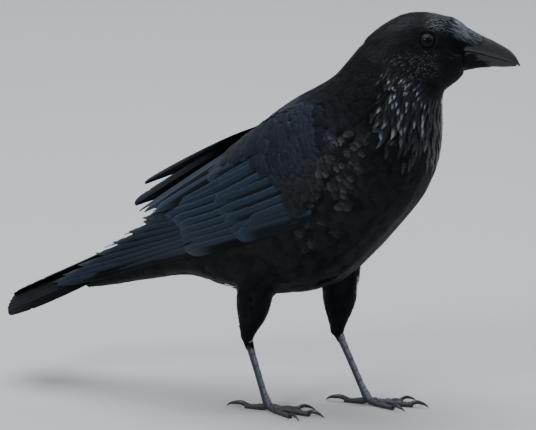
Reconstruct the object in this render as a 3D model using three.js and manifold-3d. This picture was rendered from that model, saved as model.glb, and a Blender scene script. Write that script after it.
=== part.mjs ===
// A life-size standing carrion crow, with one closed solid for each part that a person would name.
// Millimetres, +Z up. The crow faces +X, its left side is +Y, and it stands on toe flats at z = 0.
// Everything is laid out round a point on the ground between the feet. The last lines move the whole
// crow so that the origin is the middle of the underside of its bounding box.
import * as THREE from "three";
import { mergeVertices } from "three/addons/utils/BufferGeometryUtils.js";
import Module from "manifold-3d";

const wasm = await Module();
wasm.setup();

// ---------------------------------------------------------------- driving dimensions

const GAP = 0.35; // clearance between neighbouring solids
const RIGHT = -1; // the sign of y on the crow's right side
const LEFT = 1;

// Trunk and neck, from under the tail to inside the head. Each station gives the point on the back
// line and the point on the breast and belly line as [x, z], and the half width between them.
const TRUNK = [
  { back: [-196, 98], belly: [-194, 81], half: 8 },
  { back: [-176, 109], belly: [-174, 84.5], half: 14 },
  { back: [-150, 126], belly: [-150, 91], half: 20 },
  { back: [-122, 148], belly: [-124, 97], half: 27 },
  { back: [-97, 174], belly: [-102, 101.5], half: 34.5 },
  { back: [-75, 197], belly: [-80, 98], half: 42 },
  { back: [-54, 219], belly: [-54, 91.5], half: 48.5 },
  { back: [-34, 238], belly: [-18, 94], half: 53 },
  { back: [-12.5, 254], belly: [16, 102.5], half: 55.5 },
  { back: [5, 264.5], belly: [43, 124], half: 56 },
  { back: [18, 273.5], belly: [70, 155], half: 54 },
  { back: [25.5, 282], belly: [91, 182], half: 50 },
  { back: [32, 290], belly: [101.5, 210], half: 43 },
  { back: [39.5, 299.5], belly: [104.5, 236], half: 35.5 },
  { back: [49, 308.5], belly: [105, 256], half: 29 },
  { back: [60, 316], belly: [107, 269], half: 22.5 },
];
// Planes that part trunk, neck and head, each through two points [x, z] of the middle plane.
const TRUNK_TO_NECK = [[24, 282], [103, 205]];
const NECK_TO_HEAD = [[36, 303], [112, 262]];

// The head, its bristles and the bill are laid out straight ahead and then turned about this axis.
const HEAD_TURN = { pivot: 62, degrees: 13 };
const HEAD = [
  { x: 44, top: 306, bottom: 290, half: 10 },
  { x: 52, top: 313.5, bottom: 280, half: 18 },
  { x: 62, top: 321, bottom: 272, half: 22.5 },
  { x: 74, top: 327.4, bottom: 267, half: 24.5 },
  { x: 86, top: 329.6, bottom: 264, half: 24 },
  { x: 98, top: 329, bottom: 264.5, half: 22 },
  { x: 108, top: 326.6, bottom: 268.5, half: 18.8 },
  { x: 115, top: 323.8, bottom: 274.5, half: 15.5 },
  { x: 121, top: 319.8, bottom: 281, half: 12 },
];
// The stiff bristles that lie forward over the nostrils.
const BRISTLES = [
  { x: 106, top: 322.5, bottom: 300, half: 14.5 },
  { x: 115, top: 321, bottom: 302, half: 12.2 },
  { x: 123, top: 317.2, bottom: 303, half: 10.3 },
  { x: 131, top: 313, bottom: 304, half: 8.7 },
  { x: 139, top: 310, bottom: 306, half: 6.8 },
];
const UPPER_BILL = [
  { x: 104, top: 321, bottom: 301, half: 11.5 },
  { x: 116, top: 319.5, bottom: 302.5, half: 10.2 },
  { x: 124.6, top: 316.8, bottom: 302, half: 9 },
  { x: 133, top: 313.2, bottom: 300.6, half: 7.7 },
  { x: 143, top: 309.4, bottom: 297.8, half: 6.2 },
  { x: 152.5, top: 304.6, bottom: 295, half: 4.6 },
  { x: 159, top: 300.6, bottom: 293, half: 3.3 },
  { x: 163, top: 296, bottom: 291, half: 2.1 },
  { x: 166, top: 290.2, bottom: 288.7, half: 0.9 },
];
const LOWER_BILL = [
  { x: 104, top: 300.5, bottom: 283, half: 9.8 },
  { x: 116, top: 302, bottom: 282.5, half: 9 },
  { x: 125, top: 301.5, bottom: 284.8, half: 7.9 },
  { x: 134, top: 299.9, bottom: 287, half: 6.6 },
  { x: 143, top: 297.3, bottom: 287.6, half: 5.2 },
  { x: 152.5, top: 294.5, bottom: 287.7, half: 3.7 },
  { x: 160, top: 292.3, bottom: 288.2, half: 2.1 },
  { x: 163.2, top: 290.6, bottom: 288.7, half: 1 },
];
const EYE = { x: 94.7, y: 16.4, z: 311, radius: 6 };

// The folded wings wrap round the body. Each station gives the back and belly points and the half
// width of the form that a wing follows, the angles from the back at which it begins and ends, and
// its thickness.
const WING = [
  { back: [19, 275.5], belly: [74, 158], half: 55.6, from: 42, to: 74, thick: 3 },
  { back: [6, 267.5], belly: [48, 127], half: 59, from: 29, to: 91, thick: 4.4 },
  { back: [-12, 257.5], belly: [18, 103], half: 60, from: 23, to: 100, thick: 5.4 },
  { back: [-33, 242.5], belly: [-17, 94], half: 57.5, from: 18, to: 102, thick: 5.2 },
  { back: [-54, 223.5], belly: [-54, 92], half: 53.5, from: 14, to: 101, thick: 5 },
  { back: [-76, 203], belly: [-80, 97], half: 48, from: 11, to: 103, thick: 4.6 },
  { back: [-98, 184.5], belly: [-102, 101], half: 42, from: 9, to: 106, thick: 4.2 },
  { back: [-122, 164], belly: [-125, 97], half: 35.5, from: 8, to: 106, thick: 3.6 },
  { back: [-148, 142.5], belly: [-151, 92], half: 30, from: 9, to: 100, thick: 3 },
  { back: [-178, 118.5], belly: [-181, 82], half: 25.5, from: 12, to: 92, thick: 2.4 },
  { back: [-204, 99.5], belly: [-206, 70], half: 21, from: 15, to: 84, thick: 2 },
  { back: [-224, 85.5], belly: [-225, 62], half: 15, from: 24, to: 72, thick: 1.4 },
];
// The shares of its length at which a wing is parted, and how far the primaries lie under the rest.
const COVERTS_END = 0.36;
const SECONDARIES_END = 0.59;
const PRIMARIES_TUCK = 1.4;

// Tertials: three broad blades over each wing's inner edge, from root to tip. The left ones are raised.
const TERTIALS = {
  right: [
    { root: [-52, -12, 219], tip: [-134, -13, 158], half: 8, roll: 14 },
    { root: [-58, -19, 212], tip: [-128, -25, 156], half: 10, roll: 34 },
    { root: [-62, -27, 203], tip: [-119, -34, 152], half: 10, roll: 52 },
  ],
  left: [
    { root: [-50, 12, 222], tip: [-152, 21, 163], half: 9, roll: 32 },
    { root: [-58, 20, 213], tip: [-163, 27, 143], half: 11, roll: 46 },
    { root: [-62, 30, 202], tip: [-150, 36, 140], half: 11, roll: 58 },
  ],
};
const TERTIAL_THICKNESS = 1.6;

// The folded tail, a fan that roofs down to its sides, along a ridge line that droops to its tip.
const TAIL_LINE = [[-100, 143], [-150, 120.5], [-200, 95], [-234, 78], [-258, 66]];
const TAIL = { halfRoot: 15, halfEnd: 31, roof: 0.56, roofEnd: 0.24, thickMiddle: 5, thickEdge: 1.4, roundFrom: 0.87 };

// Legs: the toe joint on the ground, the heel, and the line down the feathered thigh as [x, z].
const FOOT_SPREAD = 45;
const TOE_JOINT_HEIGHT = 6;
const LEGS = {
  right: {
    side: RIGHT,
    foot: [-31.5, (RIGHT * FOOT_SPREAD) / 2],
    heel: [-47.5, -25, 61],
    thigh: [[-32, 140], [-36.5, 116], [-40.5, 94]],
    toeTurn: -4,
  },
  left: {
    side: LEFT,
    foot: [36.5, (LEFT * FOOT_SPREAD) / 2],
    heel: [11, 24, 59],
    thigh: [[12, 140], [12.5, 116], [12.5, 93]],
    toeTurn: 6,
  },
};
const THIGH_RADII = [[20, 15], [17.5, 13.5], [14.2, 11.5], [12.2, 9.8], [7, 6.2], [4.3, 4]];
const TARSUS_RADII = [[3.6, 3.2], [3.7, 3.2], [3, 2.5], [2.7, 2.2], [2.8, 2.5], [3.4, 3.5], [3, 3.4]];
const TARSUS_STOPS = [-0.03, 0.06, 0.2, 0.55, 0.85, 0.97, 1.04];

// Toes: the turn outwards from straight ahead, the lengths of toe and claw, their radii, and the joints.
const TOES = {
  hind: { turn: 176, length: 19, claw: 16, radius: 2.7, joints: 1, clawRadius: 1.9 },
  inner: { turn: -24, length: 26, claw: 12, radius: 2.5, joints: 2, clawRadius: 1.5 },
  middle: { turn: 2, length: 37, claw: 13, radius: 2.8, joints: 3, clawRadius: 1.7 },
  outer: { turn: 27, length: 29, claw: 11, radius: 2.4, joints: 4, clawRadius: 1.4 },
};
const TOE_SIDES = 6; // with one side down
const TOE_START = 3.2; // from the middle of the foot
const TOE_SINK = 0.35; // a toe's underside is cut this far up, as its flat

// ---------------------------------------------------------------- materials

const paint = (color, roughness) => new THREE.MeshStandardMaterial({ color, roughness, metalness: 0 });
const plumage = paint(0x15171c, 0.55);
const flightFeathers = paint(0x1a2029, 0.45);
const horn = paint(0x1b1c1f, 0.35);
const legSkin = paint(0x22232a, 0.45);
const eyeball = paint(0x0c0806, 0.05);

// ---------------------------------------------------------------- shaping helpers

const radians = THREE.MathUtils.degToRad;
const lerp = THREE.MathUtils.lerp;

// A smooth curve through values, one for each station, read at a share of its length from 0 to 1.
function through(values) {
  const points = values.map((v) => (Array.isArray(v) ? new THREE.Vector2(...v) : new THREE.Vector2(v, 0)));
  const curve = new THREE.SplineCurve(points);
  return (share) => curve.getPoint(share);
}

// A closed skin through rings that all have the same number of points. Each end is closed by a fan
// round its middle, or, for a ring that is an outer row and the inner row back, by a strip between them.
function loft(rings, strip = false) {
  const across = rings[0].length;
  const positions = rings.flat().flatMap((p) => [p.x, p.y, p.z]);
  const index = [];
  const triangle = (a, b, c, flip) => index.push(...(flip ? [a, c, b] : [a, b, c]));
  for (let i = 0; i + 1 < rings.length; i++) {
    for (let j = 0; j < across; j++) {
      const a = i * across + j;
      const b = i * across + ((j + 1) % across);
      index.push(a, b, a + across, b, b + across, a + across);
    }
  }
  const fan = (ring, base, flip) => {
    const middle = ring.reduce((sum, p) => sum.add(p), new THREE.Vector3()).divideScalar(across);
    const centre = positions.length / 3;
    positions.push(middle.x, middle.y, middle.z);
    for (let j = 0; j < across; j++) triangle(centre, base + j, base + ((j + 1) % across), flip);
  };
  const ladder = (ring, base, flip) => {
    for (let j = 0; j < across / 2 - 1; j++) {
      const opposite = base + across - 1 - j;
      triangle(base + j, base + j + 1, opposite, flip);
      triangle(base + j + 1, opposite - 1, opposite, flip);
    }
  };
  const closeEnd = strip ? ladder : fan;
  closeEnd(rings[0], 0, true);
  closeEnd(rings.at(-1), (rings.length - 1) * across, false);
  const geometry = new THREE.BufferGeometry();
  geometry.setAttribute("position", new THREE.Float32BufferAttribute(positions, 3));
  geometry.setIndex(index);
  return geometry;
}

// A closed mesh as a manifold solid, with its faces turned outwards if they aren't.
function solid(geometry) {
  const bare = geometry.clone();
  bare.deleteAttribute("normal");
  bare.deleteAttribute("uv");
  const merged = mergeVertices(bare, 1e-4);
  const vertProperties = merged.attributes.position.array;
  const triVerts = new Uint32Array(merged.index.array);
  const made = new wasm.Manifold(new wasm.Mesh({ numProp: 3, vertProperties, triVerts }));
  if (made.volume() > 0) return made;
  for (let i = 0; i < triVerts.length; i += 3) {
    [triVerts[i + 1], triVerts[i + 2]] = [triVerts[i + 2], triVerts[i + 1]];
  }
  return new wasm.Manifold(new wasm.Mesh({ numProp: 3, vertProperties, triVerts }));
}

const joined = (bodies) => bodies.reduce((sum, body) => sum.add(body));

// The largest piece of a solid as a named mesh; cuts can leave specks beside it.
function meshOf(name, body, material) {
  const main = body.decompose().reduce((best, piece) => (piece.volume() > best.volume() ? piece : best));
  const made = main.simplify(0.02).getMesh();
  const geometry = new THREE.BufferGeometry();
  geometry.setAttribute("position", new THREE.Float32BufferAttribute(made.vertProperties.slice(), 3));
  geometry.setIndex(new THREE.Uint32BufferAttribute(made.triVerts.slice(), 1));
  geometry.computeVertexNormals();
  const mesh = new THREE.Mesh(geometry, material);
  mesh.name = name;
  return mesh;
}

// A rounded section between a top and a bottom point [x, z] of the middle plane; square above 2 fills it.
function ovalRing(top, bottom, half, count, square = 2.15) {
  const centre = new THREE.Vector3((top.x + bottom.x) / 2, 0, (top.y + bottom.y) / 2);
  const up = new THREE.Vector3(top.x - bottom.x, 0, top.y - bottom.y);
  const depth = up.length() / 2;
  up.normalize();
  const round = (value) => Math.sign(value) * Math.abs(value) ** (2 / square);
  return Array.from({ length: count }, (_, j) => {
    const angle = (2 * Math.PI * j) / count;
    const side = new THREE.Vector3(0, half * round(Math.sin(angle)), 0);
    return centre.clone().addScaledVector(up, depth * round(Math.cos(angle))).add(side);
  });
}

// The sections of trunk and neck lean with the body.
function trunkLoft(steps, count, grow) {
  const back = through(TRUNK.map((s) => s.back));
  const belly = through(TRUNK.map((s) => s.belly));
  const half = through(TRUNK.map((s) => s.half));
  const rings = [];
  for (let i = 0; i <= steps; i++) {
    const [top, bottom] = [back(i / steps), belly(i / steps)];
    const outwards = top.clone().sub(bottom).setLength(grow);
    rings.push(ovalRing(top.add(outwards), bottom.sub(outwards), half(i / steps).x + grow, count));
  }
  return solid(loft(rings));
}

// Upright sections along x make the head, the bristles and both halves of the bill.
function uprightLoft(stations, steps, count, section, grow = 0) {
  const line = through(stations.map((s) => [s.x, s.half]));
  const edges = through(stations.map((s) => [s.top, s.bottom]));
  const rings = [];
  for (let i = 0; i <= steps; i++) {
    const { x, y: half } = line(i / steps);
    const { x: top, y: bottom } = edges(i / steps);
    const beyond = i === 0 ? -grow : i === steps ? grow : 0;
    rings.push(section(x + beyond, top + grow, bottom - grow, half + grow, count));
  }
  return solid(loft(rings));
}

const ovalSection = (x, top, bottom, half, count) =>
  ovalRing({ x, y: top }, { x, y: bottom }, half, count);

// A ridged arch over a flat underside; the lower half of the bill is the same arch upside down.
function archSection(x, ridge, edge, half, count) {
  const last = count - 4;
  const ring = [];
  for (let j = 0; j <= last; j++) {
    const angle = (Math.PI * j) / last;
    ring.push(new THREE.Vector3(x, half * Math.cos(angle), lerp(edge, ridge, Math.sin(angle) ** 0.85)));
  }
  for (const share of [-0.5, 0, 0.5]) ring.push(new THREE.Vector3(x, half * share, edge));
  return ring;
}

const invertedArch = (x, top, bottom, half, count) => archSection(x, bottom, top, half, count);

// A round limb through stops, each with its radii fore-and-aft and across.
function limb(points, radii, steps, count, grow = 0) {
  const line = new THREE.CatmullRomCurve3(points.map((p) => new THREE.Vector3(...p)));
  const size = through(radii);
  const rings = [];
  for (let i = 0; i <= steps; i++) {
    const share = i / steps;
    const along = line.getTangent(share);
    const across = new THREE.Vector3(0, 1, 0);
    if (Math.abs(along.z) < 0.7) across.crossVectors(new THREE.Vector3(0, 0, 1), along);
    across.addScaledVector(along, -across.dot(along)).normalize();
    const fore = new THREE.Vector3().crossVectors(across, along);
    const { x: deep, y: wide } = size(share);
    const centre = line.getPoint(share);
    const turn = (j) => (2 * Math.PI * (j + 0.5)) / count;
    rings.push(
      Array.from({ length: count }, (_, j) =>
        centre
          .clone()
          .addScaledVector(fore, (deep + grow) * Math.cos(turn(j)))
          .addScaledVector(across, (wide + grow) * Math.sin(turn(j))),
      ),
    );
  }
  return solid(loft(rings));
}

// A feather blade: a thin leaf that widens from its root and rounds off at its tip. Each row gives
// the middle of the blade, and side is the direction across it.
function blade(middleAt, sideAt, half, thick, steps, grow = 0) {
  const rings = [];
  for (let i = 0; i <= steps; i++) {
    const share = i / steps;
    const width = Math.min(1, 0.5 + 1.6 * share) * Math.sqrt(Math.max(0.06, 1 - Math.max(0, share * 5 - 4) ** 2));
    const centre = middleAt(share);
    const side = sideAt(share);
    const along = middleAt(Math.min(1, share + 0.01)).sub(middleAt(Math.max(0, share - 0.01)));
    const up = new THREE.Vector3().crossVectors(along, side).normalize();
    const ring = [];
    for (const [across, rise] of [[-1, 0], [-0.4, 1], [0.4, 1], [1, 0], [0.4, -1], [-0.4, -1]]) {
      ring.push(
        centre
          .clone()
          .addScaledVector(side, across * (half * width + grow))
          .addScaledVector(up, rise * (thick / 2 + grow)),
      );
    }
    rings.push(ring);
  }
  return solid(loft(rings));
}

// ---------------------------------------------------------------- body, neck, head and bill

function turnHead(body) {
  const { pivot, degrees } = HEAD_TURN;
  return body.translate([-pivot, 0, 0]).rotate([0, 0, degrees]).translate([pivot, 0, 0]);
}

function headForm(grow = 0) {
  const skull = uprightLoft(HEAD, 11, 16, ovalSection, grow);
  const bristles = uprightLoft(BRISTLES, 4, 8, ovalSection, grow);
  return turnHead(skull.add(bristles));
}

// What lies above or below the plane through two points of the middle plane, clear of it by half a gap.
function keepSide([[x0, z0], [x1, z1]], body, sign) {
  const along = new THREE.Vector2(x1 - x0, z1 - z0).normalize();
  const normal = [-along.y * sign, 0, along.x * sign];
  return body.trimByPlane(normal, normal[0] * x0 + normal[2] * z0 + GAP / 2);
}

const keepAbove = (plane, body) => keepSide(plane, body, 1);
const keepBelow = (plane, body) => keepSide(plane, body, -1);

const eyeForm = (side, grow = 0) =>
  turnHead(solid(new THREE.SphereGeometry(EYE.radius + grow, 12, 8)).translate([EYE.x, side * EYE.y, EYE.z]));

const wholeBody = trunkLoft(22, 18, 0).add(headForm());
const bodySurround = trunkLoft(22, 18, GAP).add(headForm(GAP));

// ---------------------------------------------------------------- wings

const WING_PARTS = {
  coverts: { start: 0, end: COVERTS_END, steps: 8, tuck: 0 },
  secondaries: { start: COVERTS_END, end: SECONDARIES_END, steps: 4, tuck: 0 },
  primaries: { start: SECONDARIES_END, end: 1, steps: 7, tuck: PRIMARIES_TUCK },
};
const ROOM_ABOVE = 3; // what is cleared over a wing
const PART_MARGIN = 0.0015; // the share of the wing's length that is left free at a parting

// A wing's shell through crescent sections. Each row gives its share of the wing's length and how far
// its outer face and its inner face lie under the wing's full form.
function wingShell(side, rows, grow = 0) {
  const back = through(WING.map((s) => s.back));
  const belly = through(WING.map((s) => s.belly));
  const shape = through(WING.map((s) => [s.half, s.thick]));
  const range = through(WING.map((s) => [s.from, s.to]));
  const across = 9;
  const rings = rows.map(({ share, outerTuck, innerTuck }) => {
    const [top, bottom] = [back(share), belly(share)];
    const { x: half, y: thick } = shape(share);
    const { x: from, y: to } = range(share);
    const wider = THREE.MathUtils.radToDeg(grow / half);
    const centre = new THREE.Vector3((top.x + bottom.x) / 2, 0, (top.y + bottom.y) / 2);
    const up = new THREE.Vector3(top.x - bottom.x, 0, top.y - bottom.y);
    const depth = up.length() / 2;
    up.normalize();
    const point = (portion, inset) => {
      const angle = radians(lerp(from - wider, to + wider, portion));
      const out = new THREE.Vector3(0, side * (half - inset) * Math.sin(angle), 0);
      return centre.clone().addScaledVector(up, (depth - inset) * Math.cos(angle)).add(out);
    };
    const outer = [];
    const inner = [];
    for (let j = 0; j <= across; j++) {
      const fullness = Math.sqrt(Math.sin(Math.PI * lerp(0.1, 0.9, j / across)));
      outer.push(point(j / across, outerTuck - grow));
      inner.push(point(j / across, innerTuck + thick * fullness + grow));
    }
    return [...outer, ...inner.reverse()];
  });
  rings[0].forEach((p) => (p.x += 1.2 * grow));
  return solid(loft(rings, true));
}

function partRows({ start, end, steps, tuck }, outerTuck = tuck) {
  const first = start > 0 ? start + PART_MARGIN : start;
  const last = end < 1 ? end - PART_MARGIN : end;
  return Array.from({ length: steps + 1 }, (_, i) => {
    return { share: lerp(first, last, i / steps), outerTuck, innerTuck: tuck };
  });
}

const wingPart = (side, part) => wingShell(side, partRows(part));

// The room that a whole wing takes up, with a gap round it and the room above it.
function wingSurround(side) {
  return wingShell(side, Object.values(WING_PARTS).flatMap((part) => partRows(part, -ROOM_ABOVE)), GAP);
}

function tertialsForm(name, grow = 0) {
  const blades = TERTIALS[name].map(({ root, tip, half, roll }) => {
    const [start, end] = [new THREE.Vector3(...root), new THREE.Vector3(...tip)];
    const sign = name === "left" ? 1 : -1;
    const side = new THREE.Vector3(0, sign * Math.cos(radians(roll)), -Math.sin(radians(roll)));
    const middleAt = (share) => start.clone().lerp(end, share).add(new THREE.Vector3(0, 0, 10 * share * (1 - share)));
    return blade(middleAt, () => side, half, TERTIAL_THICKNESS, 4, grow);
  });
  return joined(blades);
}

// ---------------------------------------------------------------- tail

function tailForm(grow = 0) {
  const ridge = through(TAIL_LINE);
  const steps = 12;
  const columns = 6;
  const rings = [];
  for (let i = 0; i <= steps; i++) {
    const share = 1 - (1 - i / steps) ** 1.35;
    const { x, y: height } = ridge(share);
    const rounding = Math.sqrt(1 - Math.max(0, (share - TAIL.roundFrom) / (1.02 - TAIL.roundFrom)) ** 2);
    const half = lerp(TAIL.halfRoot, TAIL.halfEnd, Math.sqrt(share)) * rounding + grow;
    const roof = lerp(TAIL.roof, TAIL.roofEnd, share ** 2);
    const place = (across, face) => {
      const fullness = 1 - Math.abs(across) ** 1.5;
      const thick = lerp(TAIL.thickEdge, TAIL.thickMiddle * lerp(1, 0.5, share), fullness);
      const y = across * half;
      return new THREE.Vector3(x, y, height - roof * Math.abs(y) + face * (thick / 2 + grow));
    };
    const columnsAt = Array.from({ length: columns + 1 }, (_, j) => (2 * j) / columns - 1);
    rings.push([...columnsAt.map((c) => place(c, 1)), ...columnsAt.reverse().map((c) => place(c, -1))]);
  }
  rings.at(-1).forEach((p) => (p.x -= grow));
  return solid(loft(rings, true));
}

// ---------------------------------------------------------------- legs and feet

function thighForm({ side, heel, thigh }, grow = 0) {
  const [hx, hy, hz] = heel;
  const [x, z] = thigh.at(-1);
  const upper = thigh.map(([px, pz]) => [px, side * 26, pz]);
  const lower = [[0.3, 0.42], [0.75, 0.82], [1.05, 1.12]].map(([forward, down]) => [
    lerp(x, hx, forward),
    lerp(side * 26, hy, down),
    lerp(z, hz, down),
  ]);
  return limb([...upper, ...lower], THIGH_RADII, 9, 12, grow);
}

function tarsusForm({ foot, heel }, grow = 0) {
  const points = TARSUS_STOPS.map((share) => [
    lerp(heel[0], foot[0], share) + Math.max(0, share - 0.9) * 8,
    lerp(heel[1], foot[1], share),
    lerp(heel[2], TOE_JOINT_HEIGHT, share),
  ]);
  return limb(points, TARSUS_RADII, 9, 9, grow);
}

// A point over the ground at a distance from the middle of the foot along a toe.
function onToe({ side, foot, toeTurn }, { turn }, distance, height) {
  const angle = radians(side * turn + toeTurn);
  return [foot[0] + 1 + distance * Math.cos(angle), foot[1] + distance * Math.sin(angle), height];
}

function toeForm(leg, toe, grow = 0) {
  const stops = toe.joints * 2 + 2;
  const points = [];
  const radii = [];
  for (let i = 0; i < stops; i++) {
    const share = i / (stops - 1);
    const arch = Math.max(0, 1 - share * 3) * 1.6;
    const radius = toe.radius * (i % 2 === 0 ? 0.92 : 1.02) * lerp(1, 0.82, share);
    const height = radius * Math.cos(Math.PI / TOE_SIDES) - TOE_SINK + arch;
    points.push(onToe(leg, toe, lerp(TOE_START, toe.length, share), height));
    radii.push([radius, radius]);
  }
  return limb(points, radii, stops - 1, TOE_SIDES, grow).trimByPlane([0, 0, 1], 0);
}

function clawForm(leg, toe) {
  const r = toe.clawRadius;
  const shares = [-0.12, 0.2, 0.5, 0.8, 1];
  const heights = [toe.radius - 0.6, toe.radius + 1.3, toe.radius + 0.9, r * 1.1 + 0.5, 0.55];
  const radii = [1, 1.02, 0.85, 0.55, 0.25].map((part) => [r * part, r * part]);
  const points = shares.map((share, i) => onToe(leg, toe, toe.length + share * toe.claw, heights[i]));
  return limb(points, radii, 5, TOE_SIDES).trimByPlane([0, 0, 1], 0);
}

// ---------------------------------------------------------------- the crow

const crow = new THREE.Group();
crow.name = "crow";
const put = (name, body, material) => crow.add(meshOf(name, body, material));

const shells = wingSurround(RIGHT).add(wingSurround(LEFT));
const trunkBody = keepBelow(TRUNK_TO_NECK, wholeBody).subtract(shells).subtract(tailForm(GAP));
put("trunk", trunkBody, plumage);
put("neck", keepBelow(NECK_TO_HEAD, keepAbove(TRUNK_TO_NECK, wholeBody)).subtract(shells), plumage);
put("head", keepAbove(NECK_TO_HEAD, wholeBody).subtract(eyeForm(RIGHT, GAP)).subtract(eyeForm(LEFT, GAP)), plumage);
put("bill_upper", turnHead(uprightLoft(UPPER_BILL, 12, 13, archSection)).subtract(headForm(GAP)), horn);
put("bill_lower", turnHead(uprightLoft(LOWER_BILL, 12, 14, invertedArch)).subtract(headForm(GAP)), horn);

for (const [name, side] of [["right", RIGHT], ["left", LEFT]]) {
  put(`eye_${name}`, eyeForm(side), eyeball);
  for (const [part, sizes] of Object.entries(WING_PARTS)) {
    put(`wing_${name}_${part}`, wingPart(side, sizes), part === "coverts" ? plumage : flightFeathers);
  }
  const tertials = tertialsForm(name).subtract(wingSurround(side)).subtract(bodySurround);
  put(`wing_${name}_tertials`, tertials, flightFeathers);
}
put("tail", tailForm().subtract(shells), flightFeathers);

for (const [name, leg] of Object.entries(LEGS)) {
  put(`thigh_${name}`, thighForm(leg).subtract(bodySurround), plumage);
  put(`tarsus_${name}`, tarsusForm(leg).subtract(thighForm(leg, GAP)), legSkin);
  for (const [toeName, toe] of Object.entries(TOES)) {
    const beside = toeName === "inner" || toeName === "outer" ? [toeForm(leg, TOES.middle, GAP)] : [];
    const neighbours = joined([tarsusForm(leg, GAP), ...beside]);
    put(`toe_${name}_${toeName}`, toeForm(leg, toe).subtract(neighbours), legSkin);
    put(`claw_${name}_${toeName}`, clawForm(leg, toe).subtract(toeForm(leg, toe, GAP)), horn);
  }
}

// The origin goes to the middle of the underside of the bounding box.
const bounds = new THREE.Box3().setFromObject(crow);
const middle = bounds.getCenter(new THREE.Vector3());
crow.position.set(-middle.x, -middle.y, -bounds.min.z);

export default crow;
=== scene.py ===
# A carrion crow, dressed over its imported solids: one skin, feathers of solid mesh laid over it with the
# lie of the plumage, long wing and tail feathers, bill, eyes with lids, and scaled legs.
# Sizes in the tables are millimetres in the crow's own layout: x forwards from a point on the ground
# between the feet, +y to its left, z up. place() turns them into the frame's metres.
import math
import bpy
import numpy as np
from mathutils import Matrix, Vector
from mathutils.bvhtree import BVHTree


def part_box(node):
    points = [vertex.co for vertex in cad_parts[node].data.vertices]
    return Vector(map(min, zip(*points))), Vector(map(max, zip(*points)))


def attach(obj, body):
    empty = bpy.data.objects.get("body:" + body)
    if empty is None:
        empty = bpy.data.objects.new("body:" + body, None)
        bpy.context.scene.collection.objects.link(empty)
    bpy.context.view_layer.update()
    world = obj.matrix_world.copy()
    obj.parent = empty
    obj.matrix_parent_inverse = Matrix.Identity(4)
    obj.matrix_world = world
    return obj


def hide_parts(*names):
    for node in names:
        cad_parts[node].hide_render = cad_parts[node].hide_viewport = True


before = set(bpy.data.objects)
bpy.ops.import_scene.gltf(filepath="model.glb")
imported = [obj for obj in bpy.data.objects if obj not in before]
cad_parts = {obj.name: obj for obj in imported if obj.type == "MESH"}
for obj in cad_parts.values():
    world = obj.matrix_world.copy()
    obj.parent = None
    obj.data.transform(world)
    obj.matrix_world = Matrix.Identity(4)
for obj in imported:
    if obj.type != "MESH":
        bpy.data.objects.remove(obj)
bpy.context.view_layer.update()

MM = 0.001
LAYOUT_X = 47.2315  # the layout's own point of origin, along the frame's x
RIGHT, LEFT = -1, 1
HEAD_PIVOT, HEAD_DEGREES = 62, 13  # the x that the head turns about, and how far it turns to its left
HEAD_COS, HEAD_SIN = math.cos(math.radians(HEAD_DEGREES)), math.sin(math.radians(HEAD_DEGREES))
rng = np.random.default_rng(7)


def place(points):
    """Layout millimetres to frame metres, for an array of any shape that ends in 3."""
    return (np.asarray(points, float) + (LAYOUT_X, 0, 0)) * MM


def unit(v):
    return v / np.maximum(np.linalg.norm(v, axis=-1, keepdims=True), 1e-12)


def square_to(v, axis):
    """The part of v at right angles to axis, at length 1."""
    return unit(v - axis * (v * axis).sum(-1, keepdims=True))


def ramp(value, start, end):
    """0 up to start, 1 from end on, and a smooth rise between them."""
    t = np.clip((np.asarray(value, float) - start) / (end - start), 0, 1)
    return t * t * (3 - 2 * t)


def ramp_line(value, start, end):
    """0 up to start, 1 from end on, and a straight rise between them."""
    return np.clip((np.asarray(value, float) - start) / max(end - start, 1e-6), 0, 1)


def band(value, a, b, c, d):
    """Rises from a to b and falls from c to d."""
    return ramp(value, a, b) * (1 - ramp(value, c, d))


def turned(points, pivot=HEAD_PIVOT):
    """Points of the head's straight layout, turned with the head; directions with a pivot of 0."""
    p = np.asarray(points, float)
    x, y = p[..., 0] - pivot, p[..., 1]
    return np.stack([pivot + HEAD_COS * x - HEAD_SIN * y, HEAD_SIN * x + HEAD_COS * y, p[..., 2]], -1)


def straightened(points):
    """x and y of layout points in the head's straight layout."""
    x, y = points[..., 0] - HEAD_PIVOT, points[..., 1]
    return HEAD_PIVOT + HEAD_COS * x + HEAD_SIN * y, -HEAD_SIN * x + HEAD_COS * y


def smooth_curve(stops, count):
    """A smooth line through stops, read at count even steps of the stops' order."""
    stops = np.asarray(stops, float)
    t = np.linspace(0, len(stops) - 1, count)
    i = np.minimum(t.astype(int), len(stops) - 2)
    f = (t - i)[:, None]
    p0, p1, p2 = stops[np.maximum(i - 1, 0)], stops[i], stops[i + 1]
    p3 = stops[np.minimum(i + 2, len(stops) - 1)]
    return 0.5 * (2 * p1 + (p2 - p0) * f + (2 * p0 - 5 * p1 + 4 * p2 - p3) * f**2
                  + (3 * p1 - p0 - 3 * p2 + p3) * f**3)


# ---------------------------------------------------------------- camera

VIEW_TURN, VIEW_TILT, VIEW_DISTANCE = 21, 15, 6.0  # degrees, degrees, metres
SENSOR, CLIP_END = 36, 50
SHOWN_WIDTH = 0.42466  # metres across the picture, at the crow
CROW_MIDDLE = (0.62, 0, 150)
AIM_RIGHT, AIM_UP = -0.03687, 0.00807  # the crow's middle isn't the picture's


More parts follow.
